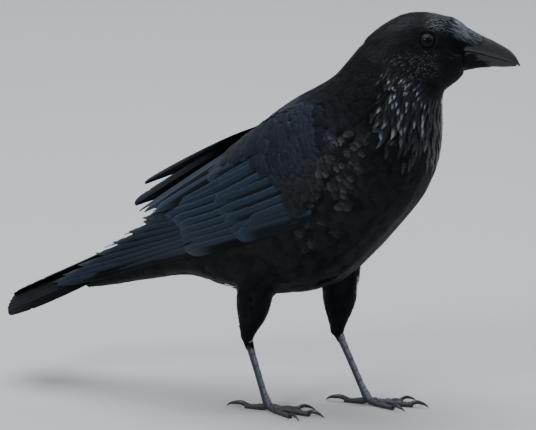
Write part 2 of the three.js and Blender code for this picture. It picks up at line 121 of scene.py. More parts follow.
def make_camera():
    turn, tilt = math.radians(VIEW_TURN), math.radians(VIEW_TILT)
    back = Vector((math.sin(turn) * math.cos(tilt), -math.cos(turn) * math.cos(tilt), math.sin(tilt)))
    across = Vector((math.cos(turn), math.sin(turn), 0))
    up = back.cross(across)
    aim = Vector(place(CROW_MIDDLE)) + across * AIM_RIGHT + up * AIM_UP
    data = bpy.data.cameras.new("Camera")
    data.sensor_width = SENSOR
    data.lens = SENSOR * VIEW_DISTANCE / SHOWN_WIDTH
    data.clip_end = CLIP_END
    camera = bpy.data.objects.new("Camera", data)
    camera.location = aim + back * VIEW_DISTANCE
    camera.rotation_euler = back.to_track_quat("Z", "Y").to_euler()
    bpy.context.scene.collection.objects.link(camera)
    bpy.context.scene.camera = camera


make_camera()

# ---------------------------------------------------------------- mesh helpers


def new_mesh(name, verts, faces):
    """A mesh from vertices in metres and faces, a list or an array of indices."""
    mesh = bpy.data.meshes.new(name)
    faces = faces.tolist() if isinstance(faces, np.ndarray) else faces
    mesh.from_pydata(np.asarray(verts).tolist(), [], faces)
    mesh.update()
    return mesh


def new_object(name, verts, faces, material):
    """A smoothly shaded piece that rides on the crow."""
    mesh = new_mesh(name, verts, faces)
    mesh.materials.append(material)
    mesh.polygons.foreach_set("use_smooth", [True] * len(mesh.polygons))
    mesh.update()
    made = bpy.data.objects.new(name, mesh)
    bpy.context.scene.collection.objects.link(made)
    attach(made, "root")
    return made


def mesh_arrays(mesh):
    """Vertex places and vertex normals of a mesh, as arrays."""
    arrays = []
    for field in ("co", "normal"):
        numbers = np.empty(len(mesh.vertices) * 3)
        mesh.vertices.foreach_get(field, numbers)
        arrays.append(numbers.reshape(-1, 3))
    return arrays


def gather(*meshes):
    """Vertex places, vertex normals and faces of several meshes, as one."""
    arrays, faces, count = [], [], 0
    for mesh in meshes:
        arrays.append(mesh_arrays(mesh))
        faces += [tuple(count + i for i in p.vertices) for p in mesh.polygons]
        count += len(mesh.vertices)
    co, normal = (np.concatenate(parts) for parts in zip(*arrays))
    return co, normal, faces


def solids(*names):
    return [bpy.data.objects[name].data for name in names]


def grid_quads(rows, columns, closed=False):
    """Quads between rows of points, each row a ring when closed."""
    index = np.arange(rows * columns).reshape(rows, columns)
    if closed:
        index = np.concatenate([index, index[:, :1]], 1)
    return np.stack([index[:-1, :-1], index[:-1, 1:], index[1:, 1:], index[1:, :-1]], -1).reshape(-1, 4)


def capped(rings, flip=False):
    """A closed tube through rings of points, with a point in the middle of each end ring."""
    rows, columns = rings.shape[:2]
    faces = grid_quads(rows, columns, closed=True).tolist()
    first, last, end_row = rows * columns, rows * columns + 1, (rows - 1) * columns
    for j in range(columns):
        ahead = (j + 1) % columns
        faces += [(ahead, j, first), (end_row + j, end_row + ahead, last)]
    if flip:
        faces = [tuple(f[::-1]) for f in faces]
    return np.concatenate([rings.reshape(-1, 3), np.stack([rings[0].mean(0), rings[-1].mean(0)])]), faces


def closed_piece(name, node, rings, material, slot, flip=True, **values):
    """A closed tube in a solid's place. Each value has a number for each vertex, the two ends' last."""
    verts, faces = capped(rings, flip)
    made = new_object(name, place(verts), faces, material)
    set_values(made, **values)
    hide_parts(node)


def set_values(made, **values):
    """A number for each vertex under each name, for the materials to read."""
    for name, numbers in values.items():
        layer = made.data.attributes.new(name, "FLOAT", "POINT")
        layer.data.foreach_set("value", np.asarray(numbers, np.float32))


def set_uv(made, name, per_vertex):
    """A UV map from one pair for each vertex."""
    layer = made.data.uv_layers.new(name=name)
    corner = np.empty(len(made.data.loops), int)
    made.data.loops.foreach_get("vertex_index", corner)
    layer.data.foreach_set("uv", np.asarray(per_vertex, np.float32)[corner].ravel())


# ---------------------------------------------------------------- materials


class Nodes:
    """A short way to lay out a material's nodes."""

    def __init__(self, name):
        self.material = bpy.data.materials.new(name)
        self.material.use_nodes = True
        self.tree = self.material.node_tree
        self.shader = self.tree.nodes["Principled BSDF"]

    def add(self, kind, inputs=None, **settings):
        node = self.tree.nodes.new(kind)
        for key, value in settings.items():
            setattr(node, key, value)
        for key, value in (inputs or {}).items():
            self.put(node.inputs[key], value)
        return node

    def put(self, socket, value):
        if isinstance(value, bpy.types.NodeSocket):
            self.tree.links.new(value, socket)
        else:
            socket.default_value = value

    def set(self, **values):
        for key, value in values.items():
            self.put(self.shader.inputs[key.replace("_", " ")], value)

    def value(self, attribute):
        return self.add("ShaderNodeAttribute", attribute_name=attribute).outputs["Fac"]

    def math(self, operation, a, b=0.0, c=0.0):
        node = self.add("ShaderNodeMath", operation=operation)
        for socket, value in zip(node.inputs, (a, b, c)):
            self.put(socket, value)
        return node.outputs[0]

    def mix(self, share, a, b):
        node = self.add("ShaderNodeMix", data_type="RGBA")
        self.put(node.inputs["Factor"], share)
        for socket, value in ((node.inputs[6], a), (node.inputs[7], b)):
            self.put(socket, value if isinstance(value, bpy.types.NodeSocket) else (*value, 1))
        return node.outputs[2]

    def noise(self, scale, detail=3, vector=None, roughness=0.55):
        node = self.add("ShaderNodeTexNoise", {"Scale": scale, "Detail": detail, "Roughness": roughness})
        self.put(node.inputs["Vector"], vector or self.coords())
        return node.outputs["Fac"]

    def coords(self):
        return self.add("ShaderNodeTexCoord").outputs["Object"]

    def span(self, value, low, high, to_low=0.0, to_high=1.0):
        node = self.add("ShaderNodeMapRange")
        keys = ("Value", "From Min", "From Max", "To Min", "To Max")
        for key, number in zip(keys, (value, low, high, to_low, to_high)):
            self.put(node.inputs[key], number)
        return node.outputs[0]

    def bump(self, height, strength, distance):
        node = self.add("ShaderNodeBump", {"Strength": strength, "Distance": distance, "Height": height})
        self.put(self.shader.inputs["Normal"], node.outputs[0])


BLACK_DOWN = (0.0042, 0.0042, 0.0046)  # soft body feathers
BLACK_GLOSS = (0.0046, 0.0086, 0.0165)  # wing and tail: blue-black, partly the feathers' own gloss and partly a painted reflection of the sky
VIOLET = (0.0052, 0.0056, 0.0112)  # mantle and shoulder
BROWN = (0.0170, 0.0150, 0.0140)  # worn, soft feather edges
GLINT_SOFT = (0.064, 0.063, 0.064)  # painted highlight: the colour of a feather painted as catching the light a little
GLINT_FULL = (0.480, 0.540, 0.620)  # and of one painted as catching it fully
DULL_AND_SHADED_VANE = (0.0016, 0.0017, 0.0019)  # a long feather's inner vane: painted shade where its neighbour covers it, and the vane's own duller black


BARB_SLANT, BARBS_PER_MM = 0.9, 2.1


def feather_material(name, base, edge, roughness, gloss, coat, barb_bump, streak):
    """Feathers. The Vane map holds millimetres across and along a feather. Its values are tone, zone
    (violet), worn (brown ends), tipward (where the edge colour, a painted sheen, goes), glint (a painted
    highlight) and the inner vane's value (painted shade under a neighbour, partly the vane's own duller
    black)."""
    n = Nodes(name)
    vane = n.add("ShaderNodeUVMap", uv_map="Vane").outputs[0]
    parts = n.add("ShaderNodeSeparateXYZ", {"Vector": vane})
    across, along = parts.outputs[0], parts.outputs[1]
    # barbs run out from the shaft and forwards, so their lines are those of along - |across|
    slant = n.math("SUBTRACT", along, n.math("MULTIPLY", n.math("ABSOLUTE", across), BARB_SLANT))
    barbs = n.math("SINE", n.math("MULTIPLY", slant, 2 * math.pi * BARBS_PER_MM))
    loose = n.noise(1.0, 3, n.add("ShaderNodeCombineXYZ", {"X": n.math("MULTIPLY", slant, 1.35),
                                                         "Y": n.math("MULTIPLY", across, 0.12)}).outputs[0])
    broad = n.noise(160, 4)
    tone = n.mix(n.value("zone"), base, VIOLET)
    tone = n.mix(n.math("MULTIPLY", n.value("worn"), n.span(loose, 0.35, 0.75)), tone, BROWN)
    # painted sheen: the edge colour along exposed edges and tips
    tone = n.mix(n.math("MULTIPLY", n.value("tipward"), n.span(loose, 0.3, 0.8, 0.25, 1.0)), tone, edge)
    # painted highlight: pale colour on feathers that glint
    glint = n.value("glint")
    lit = n.math("MULTIPLY", n.span(glint, 0.0, 0.45), n.span(loose, 0.35, 0.7, 0.25, 1.0))
    tone = n.mix(lit, tone, n.mix(glint, GLINT_SOFT, GLINT_FULL))
    # painted shade on the inner vane under its neighbour, which also stands for that vane's duller black
    dull_and_shaded = n.value("dull_and_shaded")
    tone = n.mix(dull_and_shaded, tone, DULL_AND_SHADED_VANE)
    hue = n.add("ShaderNodeHueSaturation", {"Color": tone, "Value": n.span(n.value("tone"), 0, 1, 0.62, 1.5)})
    n.set(Base_Color=hue.outputs[0])
    rough = n.span(loose, 0.25, 0.75, roughness - streak, roughness + streak)
    n.set(Roughness=n.math("ADD", rough, n.span(broad, 0.3, 0.7, -0.04, 0.04)))
    n.set(Specular_IOR_Level=n.span(dull_and_shaded, 0, 1, gloss, 0.2 * gloss), Specular_Tint=(0.66, 0.84, 1.0, 1))
    n.set(Coat_Weight=coat, Coat_Roughness=0.30)
    height = n.math("ADD", n.math("MULTIPLY", barbs, 0.25), n.math("MULTIPLY", loose, 1.6))
    n.bump(height, barb_bump, 0.00035)
    return n.material


# Name, colour, edge colour (a painted sheen), roughness, specular, coat, relief of the barbs and spread of
# the roughness.
SOFT, FACE, HACKLE, SHOULDER, GLOSS, TAIL = (feather_material(*row) for row in (
    ("body_feathers", BLACK_DOWN, (0.0065, 0.0065, 0.0070), 0.52, 0.085, 0.0, 0.25, 0.08),
    ("face_feathers", BLACK_DOWN, (0.014, 0.014, 0.015), 0.44, 0.15, 0.0, 0.15, 0.08),
    ("throat_hackles", BLACK_DOWN, (0.040, 0.045, 0.055), 0.32, 0.38, 0.05, 0.15, 0.08),
    ("shoulder_feathers", BLACK_DOWN, (0.010, 0.012, 0.016), 0.42, 0.17, 0.0, 0.22, 0.08),
    ("wing_feathers", BLACK_GLOSS, (0.026, 0.044, 0.072), 0.36, 0.30, 0.02, 0.16, 0.07),
    ("tail_feathers", BLACK_DOWN, (0.010, 0.013, 0.018), 0.48, 0.10, 0.0, 0.16, 0.07)))


def skin_material():
    n = Nodes("skin_under_feathers")
    fine = n.noise(900, 4)
    broad = n.noise(60, 3)
    tone = n.mix(n.value("zone"), (0.006, 0.0058, 0.0062), (0.007, 0.0065, 0.011))
    n.set(Base_Color=n.mix(n.span(broad, 0.35, 0.7), tone, (0.010, 0.009, 0.0095)))
    n.set(Roughness=n.span(fine, 0.3, 0.7, 0.6, 0.85), Specular_IOR_Level=0.25)
    n.bump(fine, 0.6, 0.0004)
    return n.material


def horn_material():
    """Bill: satin dark slate, with a painted highlight along the cutting edges, painted shade over the lower
    half, fine grain along it and scuffs.
    """
    n = Nodes("bill_horn")
    along_bill = n.add("ShaderNodeMapping", {"Vector": n.coords(), "Scale": (120, 900, 1500),
                                             "Rotation": (0, 0, -math.radians(HEAD_DEGREES))})
    grain = n.noise(1.0, 4, along_bill.outputs[0], 0.6)
    scuff = n.noise(210, 5)
    # painted highlight along the cutting edges
    tone = n.mix(n.value("edge"), (0.0125, 0.0130, 0.0145), (0.036, 0.037, 0.038))
    tone = n.mix(n.span(scuff, 0.52, 0.78, 0, 0.65), tone, (0.034, 0.034, 0.036))
    # painted shade over the lower bill
    tone = n.mix(n.value("shade"), tone, (0.0042, 0.0046, 0.0044))
    n.set(Base_Color=n.mix(n.span(grain, 0.4, 0.75, 0, 0.35), tone, (0.008, 0.008, 0.009)))
    n.set(Roughness=n.math("ADD", n.span(scuff, 0.3, 0.75, 0.30, 0.50), n.span(grain, 0.3, 0.7, -0.04, 0.05)))
    n.set(Specular_IOR_Level=0.5, Coat_Weight=0.12, Coat_Roughness=0.22)
    n.bump(n.math("ADD", grain, n.math("MULTIPLY", scuff, 0.8)), 0.55, 0.00026)
    return n.material


def leg_material():
    """Legs: dark scales, with a painted pale slate highlight on the plates down the front, and dark joins
    there.
    """
    n = Nodes("leg_scales")
    cells = n.add("ShaderNodeTexVoronoi", {"Scale": 1150, "Randomness": 0.85}, feature="DISTANCE_TO_EDGE")
    n.put(cells.inputs["Vector"], n.coords())
    scale = n.span(cells.outputs["Distance"], 0.0, 0.16)
    broad = n.noise(130, 4)
    tone = n.mix(n.span(broad, 0.35, 0.7), (0.014, 0.016, 0.020), (0.030, 0.034, 0.042))
    tone = n.mix(n.math("SUBTRACT", 1.0, scale), tone, (0.006, 0.006, 0.007))
    # painted highlight on the front plates
    plate = n.mix(n.span(broad, 0.35, 0.7), (0.110, 0.128, 0.160), (0.170, 0.195, 0.240))
    tone = n.mix(n.value("front"), tone, plate)
    n.set(Base_Color=n.mix(n.value("join"), tone, (0.005, 0.005, 0.006)))
    n.set(Roughness=n.span(broad, 0.3, 0.7, 0.36, 0.52), Specular_IOR_Level=0.5)
    n.set(Coat_Weight=0.15, Coat_Roughness=0.3)
    n.bump(n.math("ADD", scale, n.math("MULTIPLY", broad, 0.5)), 0.5, 0.00018)
    return n.material


def grained_material(name, scale, dark, pale, roughness, relief, **settings):
    """One noise gives the tone, the roughness and the relief."""
    n = Nodes(name)
    grain = n.noise(scale, 4)
    n.set(Base_Color=n.mix(n.span(grain, 0.4, 0.75), dark, pale))
    n.set(Roughness=n.span(grain, 0.3, 0.7, *roughness), **settings)
    n.bump(grain, relief, 0.0002)
    return n.material


def eye_material():
    """A dark brown iris round the pupil, under a clear wet cornea. outward is 1 on the eye's axis."""
    n = Nodes("eyeball")
    outward = n.value("outward")
    fibres = n.noise(1600, 3)
    iris = n.mix(n.span(fibres, 0.35, 0.7), (0.0030, 0.0018, 0.0012), (0.0085, 0.0048, 0.0028))
    iris = n.mix(n.span(outward, 0.78, 0.84), (0.0015, 0.0012, 0.0012), iris)
    n.set(Base_Color=n.mix(n.span(outward, 0.905, 0.925), iris, (0.001, 0.001, 0.001)))
    n.set(Roughness=n.span(fibres, 0.3, 0.7, 0.04, 0.07), Specular_IOR_Level=0.14)
    return n.material


SKIN, HORN, LEG, EYEBALL = skin_material(), horn_material(), leg_material(), eye_material()
CLAW = grained_material("claw_horn", 420, (0.008, 0.008, 0.009), (0.026, 0.025, 0.026), (0.26, 0.42), 0.3,
                        Coat_Weight=0.2, Coat_Roughness=0.2)
LID = grained_material("eyelid", 1900, (0.0036, 0.0036, 0.0039), (0.0105, 0.0105, 0.0112), (0.48, 0.62), 0.6,
                       Specular_IOR_Level=0.18)

# ---------------------------------------------------------------- the form that the plumage follows

FLESH = ["trunk", "neck", "head", "thigh_right", "thigh_left", "wing_right_coverts", "wing_left_coverts"]
UNDERLAID = ["wing_right_secondaries", "wing_left_secondaries"]
SEAM_FILL = 0.0005  # metres that each solid swells by, so that the joins between them close
VOXEL, RELAX_ROUNDS = 0.0019, 9


def whole_form():
    """The flesh solids and the wings' bases as one smooth closed mesh."""
    co, normal, faces = gather(*solids(*FLESH, *UNDERLAID))
    work = bpy.data.objects.new("form", new_mesh("form", co + normal * SEAM_FILL, faces))
    bpy.context.scene.collection.objects.link(work)
    remesh = work.modifiers.new("one", "REMESH")
    remesh.mode = "VOXEL"
    remesh.voxel_size = VOXEL
    relax = work.modifiers.new("relax", "SMOOTH")
    relax.factor = 0.5
    relax.iterations = RELAX_ROUNDS
    ready = work.evaluated_get(bpy.context.evaluated_depsgraph_get())
    mesh = bpy.data.meshes.new_from_object(ready)
    bpy.data.objects.remove(work)
    return mesh


FORM = whole_form()
form_co, form_normal, form_faces = gather(FORM)

# The body's long axis, from the bill through head, neck and trunk to the tail.
AXIS_STEPS, AXIS_SKIP = 520, 4  # its places, and the share of them that points are measured to
AXIS_HEAD = [(150, 0, 297), (120, 0, 302), (95, 0, 302), (74, 0, 296)]
AXIS_BODY = [(66, 0.5, 272), (58, 0, 243), (40, 0, 215), (12, 0, 188), (-25, 0, 166), (-65, 0, 148),
             (-105, 0, 132), (-150, 0, 113), (-200, 0, 88), (-245, 0, 66)]
AXIS = smooth_curve(np.concatenate([turned(AXIS_HEAD), AXIS_BODY]), AXIS_STEPS)
AXIS_LENGTH = np.concatenate([[0], np.cumsum(np.linalg.norm(np.diff(AXIS, axis=0), axis=1))])
AXIS_ALONG = unit(np.gradient(AXIS, axis=0))
AXIS_UP = unit(np.cross(AXIS_ALONG, (0, 1, 0)))
AXIS_UP[AXIS_UP[:, 2] < 0] *= -1


WING_WAY, LEG_WAY = (-0.82, 0, -0.57), (-0.12, 0, -1.0)  # the way feathers lie on a wing and on a leg
WAY_BLEND = 16.0  # mm of the axis over which the ways along it blend


def off_axis(points):
    """Squared distances from layout points to places on the axis."""
    return ((points[:, None, :] - AXIS[None, ::AXIS_SKIP]) ** 2).sum(2)


def chart(points):
    """Distance along the axis in mm, and degrees round it from the back, of layout points."""
    i = off_axis(points).argmin(1) * AXIS_SKIP
    out = points - AXIS[i]
    return AXIS_LENGTH[i], np.degrees(np.arctan2(np.abs(out[:, 1]), (out * AXIS_UP[i]).sum(1)))


def lie(points, normals):
    """The way the plumage lies at layout points: tailwards along the surface, and down the thighs."""
    near = off_axis(points)
    weight = np.exp(-(near - near.min(1, keepdims=True)) / (2 * WAY_BLEND**2))
    way = unit(weight @ AXIS_ALONG[::AXIS_SKIP])
    s, theta = chart(points)
    wing = band(s, 165, 215, 340, 400) * band(theta, 8, 22, 92, 106)
    way = unit(way * (1 - wing[:, None]) + np.array(WING_WAY) * wing[:, None])
    leg = (1 - ramp(points[:, 2], 88, 112)) * (np.abs(points[:, 0] + 15) < 60)
    way = unit(way * (1 - leg[:, None]) + np.array(LEG_WAY) * leg[:, None])
    return square_to(way, normals)


def to_layout(metres):
    return np.asarray(metres) / MM - (LAYOUT_X, 0, 0)


class Surface:
    """Meshes that feathers can lie on."""

    def __init__(self, *meshes):
        co, normal, faces = gather(*meshes)
        self.tree = BVHTree.FromPolygons([Vector(c) for c in co], faces)
        self.face_normal = unit(np.array([normal[list(f)].mean(0) for f in faces]))

    def nearest(self, points):
        """The nearest places on it to layout points, with its normals there."""
        found = [self.tree.find_nearest(Vector(p)) for p in place(points)]
        return to_layout([f[0] for f in found]), self.face_normal[[f[2] for f in found]]


BODY_SURFACE = Surface(FORM)
FACE_NORMAL = BODY_SURFACE.face_normal
FACE_CENTRE = to_layout([form_co[list(f)].mean(0) for f in form_faces])
FACE_AREA = np.array([p.area for p in FORM.polygons])

# The form that a folded wing follows, root to tip: back and belly points [x, z], half width, and the
# degrees from the back between which the wing lies on it.
WING = [((19, 275.5), (74, 158), 55.6, 42, 74), ((6, 267.5), (48, 127), 59, 29, 91),
        ((-12, 257.5), (18, 103), 60, 23, 100), ((-33, 242.5), (-17, 94), 57.5, 18, 102),
        ((-54, 223.5), (-54, 92), 53.5, 14, 101), ((-76, 203), (-80, 97), 48, 11, 103),
        ((-98, 184.5), (-102, 101), 42, 9, 106), ((-122, 164), (-125, 97), 35.5, 8, 106),
        ((-148, 142.5), (-151, 92), 30, 9, 100), ((-178, 118.5), (-181, 82), 25.5, 12, 92),
        ((-204, 99.5), (-206, 70), 21, 15, 84), ((-224, 85.5), (-225, 62), 15, 24, 72)]
WING_STEPS = 441
WING_ROWS = smooth_curve([(*back, *belly, *rest) for back, belly, *rest in WING], WING_STEPS)
WING_MIDDLE = (WING_ROWS[:, 0:2] + WING_ROWS[:, 2:4]) / 2
WING_UP = WING_ROWS[:, 0:2] - WING_ROWS[:, 2:4]
WING_DEPTH = np.linalg.norm(WING_UP, axis=1) / 2
WING_UP = unit(WING_UP)


def wing_row(xz):
    """The row of a wing's form that each side-view point lies on, and its height over the row's middle."""
    away = xz[:, None, :] - WING_MIDDLE[None]
    off = np.abs(away[..., 0] * WING_UP[:, 1] - away[..., 1] * WING_UP[:, 0])
    row = off.argmin(1)
    return row, (away[np.arange(len(xz)), row] * WING_UP[row]).sum(1)


def wing_place(points):
    """Share of a wing's length and degrees from the back of layout points, and whether they're on a wing."""
    row, high = wing_row(points[:, ::2])
    angle = np.degrees(np.arctan2(np.abs(points[:, 1]) / WING_ROWS[row, 4], high / WING_DEPTH[row]))
    start, end = WING_ROWS[row, 5], WING_ROWS[row, 6]
    inside = (angle > start - 1) & (angle < end + 2.5) & (row > 0) & (row < WING_STEPS - 1)
    return row / (WING_STEPS - 1), angle, inside


# ---------------------------------------------------------------- skin


COAT_DEPTH = 1.7  # mm from the form down to the skin
WING_SINK, WING_NARROW = 2.6, 3.2  # mm that it lies deeper and closer in under the long wing feathers


def coat_depth(points):
    """How far the skin lies under the form: deep on the body, thin on the face and the lower thighs."""
    s, _ = chart(points)
    depth = COAT_DEPTH * (0.30 + 0.70 * ramp(s, 70, 160))
    depth = depth * (0.55 + 0.45 * ramp(points[:, 2], 62, 95))
    share, _, inside = wing_place(points)
    return depth + WING_SINK * inside * ramp(share, 0.30, 0.50)


def make_skin():
    points = to_layout(form_co)
    inner = points - form_normal * coat_depth(points)[:, None]
    share, _, inside = wing_place(points)
    inner[:, 1] -= np.sign(points[:, 1]) * WING_NARROW * inside * ramp(share, 0.42, 0.52)
    made = new_object("skin", place(inner), form_faces, SKIN)
    set_values(made, zone=violet_zone(*chart(points)))
    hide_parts(*FLESH)
    return made


def violet_zone(s, theta):
    """Mantle and shoulder."""
    return band(s, 105, 150, 230, 300) * (1 - ramp(theta, 60, 95))


make_skin()

# ---------------------------------------------------------------- feather patterns


def outline(root, rise, shoulder, power, rounding):
    """A feather's half width along it: it widens from the root, and closes from the shoulder to the tip."""
    def width(v):
        closing = np.maximum(0, (v - shoulder) / (1 - shoulder)) ** power
        return np.minimum(1, root + v / rise) * np.clip(1 - closing, 0, 1) ** rounding
    return width


ROUND, BROAD = outline(0.4, 0.45, 0.60, 2.4, 0.5), outline(0.45, 0.5, 0.66, 2.6, 0.5)
POINTED = outline(0.5, 1, 0.34, 1.7, 1)


def vane_pattern(width, barbs, sweep, gap, ragged, seed):
    """A feather's flat shape: clumps of barbs swept forwards from the shaft, as (across, along) points
    and quads, with a small lift for each point. A gap opens between clumps towards the edge."""
    draw = np.random.default_rng(seed)
    start = np.linspace(0.03, 1 - sweep, barbs + 1)
    points = [(0.0, v, 0.0) for v in start]
    quads = []
    for side in (-1, 1):
        for k in range(barbs):
            reach = 1 - ragged * draw.random()
            rise = (draw.random() - 0.5) * 2
            (u0, v0), (u1, v1) = ((side * width(start[i] + sweep) * reach, start[i] + sweep * reach)
                                  for i in (k, k + 1))
            u1, v1 = u1 + (u0 - u1) * gap, v1 + (v0 - v1) * gap
            first = len(points)
            points += [(u0 * 0.5, start[k] + (v0 - start[k]) * 0.5, 0.3 * rise),
                       (u1 * 0.5, start[k + 1] + (v1 - start[k + 1]) * 0.5, 0.3 * rise),
                       (u1, v1, rise), (u0, v0, rise)]
            a, b, c, d = range(first, first + 4)
            made = [(k, k + 1, b, a), (a, b, c, d)]
            quads += [q[::-1] for q in made] if side > 0 else made
    return np.array(points), np.array(quads)


def bristle_pattern(seed):
    """A stiff hair: a narrow strip with a raised middle that tapers to its tip."""
    draw = np.random.default_rng(seed)
    v = np.linspace(0, 1, BRISTLE_POINTS)
    width = (1 - v**1.6) * 0.9 + 0.1
    bend = draw.normal(0, 0.5) * v**2 * 2.2
    lines = [np.stack([bend + k * width, v, 0 * v + (0.0 if k else 3.0)], 1) for k in (-1, 0, 1)]
    return np.concatenate(lines), grid_quads(3, BRISTLE_POINTS)


PATTERN_COUNT, BRISTLE_POINTS = 5, 7
BODY_SHAPES, COVERT_SHAPES, HACKLE_SHAPES, FLUFF_SHAPES, FACE_SHAPES = (
    [vane_pattern(*settings, seed) for seed in range(PATTERN_COUNT)] for settings in (
        (ROUND, 15, 0.20, 0.14, 0.07), (BROAD, 13, 0.17, 0.03, 0.03), (POINTED, 9, 0.26, 0.30, 0.16),
        (ROUND, 14, 0.30, 0.42, 0.22), (POINTED, 4, 0.34, 0.30, 0.20)))
BRISTLE_SHAPES = [bristle_pattern(seed) for seed in range(PATTERN_COUNT)]

# ---------------------------------------------------------------- laying feathers

SPINE_STEPS = 6  # along a feather
STIFF = 0.65  # how far each step keeps the way of the last one
BAKE_PATCH = 0.003  # a small feather's size on the OFBake map
BAKE_START, BAKE_WIDTH, BAKE_HEIGHT = 0.02, 0.94, 0.95  # of the part of that map where small feathers root
TRIANGLE_LIMIT = 190_000
VALUES = ("tone", "zone", "worn", "tipward", "glint", "dull_and_shaded")


def turn_about(way, normal, degrees):
    angle = np.radians(degrees)[:, None]
    return way * np.cos(angle) + np.cross(normal, way) * np.sin(angle)


def spines(roots, length, yaw, way_at, nearest):
    """Lines over the form from each root, the way the plumage lies: places, normals and sideways."""
    at, normal = nearest(roots)
    way = turn_about(way_at(at, normal), normal, yaw)
    places, normals, ways = [at], [normal], [way]
    for _ in range(SPINE_STEPS):
        at, normal = nearest(at + way * (length / SPINE_STEPS)[:, None])
        fresh = turn_about(way_at(at, normal), normal, yaw)
        way = square_to(unit(STIFF * way + (1 - STIFF) * fresh), normal)
        places.append(at)
        normals.append(normal)
        ways.append(way)
    places, normals, ways = (np.stack(a, 1) for a in (places, normals, ways))
    mean = normals.copy()
    mean[:, 1:-1] = (normals[:, :-2] + normals[:, 1:-1] + normals[:, 2:]) / 3
    normals = unit(mean)
    return places, normals, unit(np.cross(ways, normals))


def side_falls(places, normals, sideways, half, nearest):
    """How far the form falls away at a feather's two edges, at its middle."""
    middle = SPINE_STEPS // 2
    falls = []
    for sign in (-1, 1):
        out = places[:, middle] + sideways[:, middle] * (sign * half)[:, None]
        falls.append(((nearest(out)[0] - out) * normals[:, middle]).sum(1))
    return np.stack(falls, 1)


def bake_root(points):
    """Where roots lie on an unwrap of the body: round it across, and along its axis upwards."""
    s, theta = chart(points)
    around = theta * np.where(points[:, 1] < 0, -1, 1)
    return BAKE_START + np.stack([BAKE_WIDTH * (around + 180) / 360, BAKE_HEIGHT * s / AXIS_LENGTH[-1]], 1)


def build_feathers(name, verts, quads, vanes, bakes, values, material, slot):
    """One piece of the plumage. Each list has an array for each part, and values a row for each value."""
    made = new_object(name, place(np.concatenate(verts)), np.concatenate(quads), material)
    set_values(made, **dict(zip(VALUES, np.concatenate(values, 1))))
    set_uv(made, "Vane", np.concatenate(vanes))
    set_uv(made, "OFBake", np.concatenate(bakes))
    return made


# Each coat's shapes and material. In mm: how far its feathers stand over the form, how far their roots lie
# under it and how far their tips press down. Then the spread of their ways in degrees, their ruffle and the
# strength of their edge colour, a painted sheen.
COATS = {
    "feathers_face": (FACE_SHAPES, FACE, 0.12, 0.5, 0.12, 11, 0.28, 0.6),
    "feathers_throat": (HACKLE_SHAPES, HACKLE, 0.5, 1.1, 0.1, 11, 0.4, 0.9),
    "feathers_neck": (BODY_SHAPES, SOFT, 0.3, 1.1, 0.4, 7, 0.2, 0.4),
    "feathers_belly": (FLUFF_SHAPES, SOFT, 0.5, 1.5, 0.3, 10, 0.25, 0.3),
    "feathers_body": (BODY_SHAPES, SOFT, 0.3, 1.5, 0.4, 7, 0.12, 0.35),
    "feathers_shoulder": (COVERT_SHAPES, SHOULDER, 0.55, 1.7, 0.3, 4, 0.12, 0.8),
    "feathers_thigh": (FLUFF_SHAPES, SOFT, 0.35, 1.0, 0.3, 9, 0.35, 0.25),
    "feathers_hem": (HACKLE_SHAPES, SOFT, 0.5, 0.2, 0.2, 9, 0.5, 0.25),
    "feathers_tail_coverts": (BODY_SHAPES, SOFT, 0.5, 0.9, 0.4, 5, 0.15, 0.35),
    "bristles_1": (BRISTLE_SHAPES, FACE, 0.5, 0.4, 0.1, 6, 1.0, 0.5),
    "bristles_2": (BRISTLE_SHAPES, FACE, 0.8, 0.4, 0.1, 6, 1.0, 0.5),
    "bristles_3": (BRISTLE_SHAPES, FACE, 1.1, 0.4, 0.1, 6, 1.0, 0.5),
    "feathers_bill_base": (FACE_SHAPES, FACE, 0.5, 0.3, 0.1, 9, 0.5, 0.4),
    "feathers_chin": (FACE_SHAPES, FACE, 0.6, -0.25, 0.25, 8, 0.5, 0.4),
    "feathers_gape": (FACE_SHAPES, FACE, 0.6, -0.25, 0.25, 8, 0.5, 0.4),
}


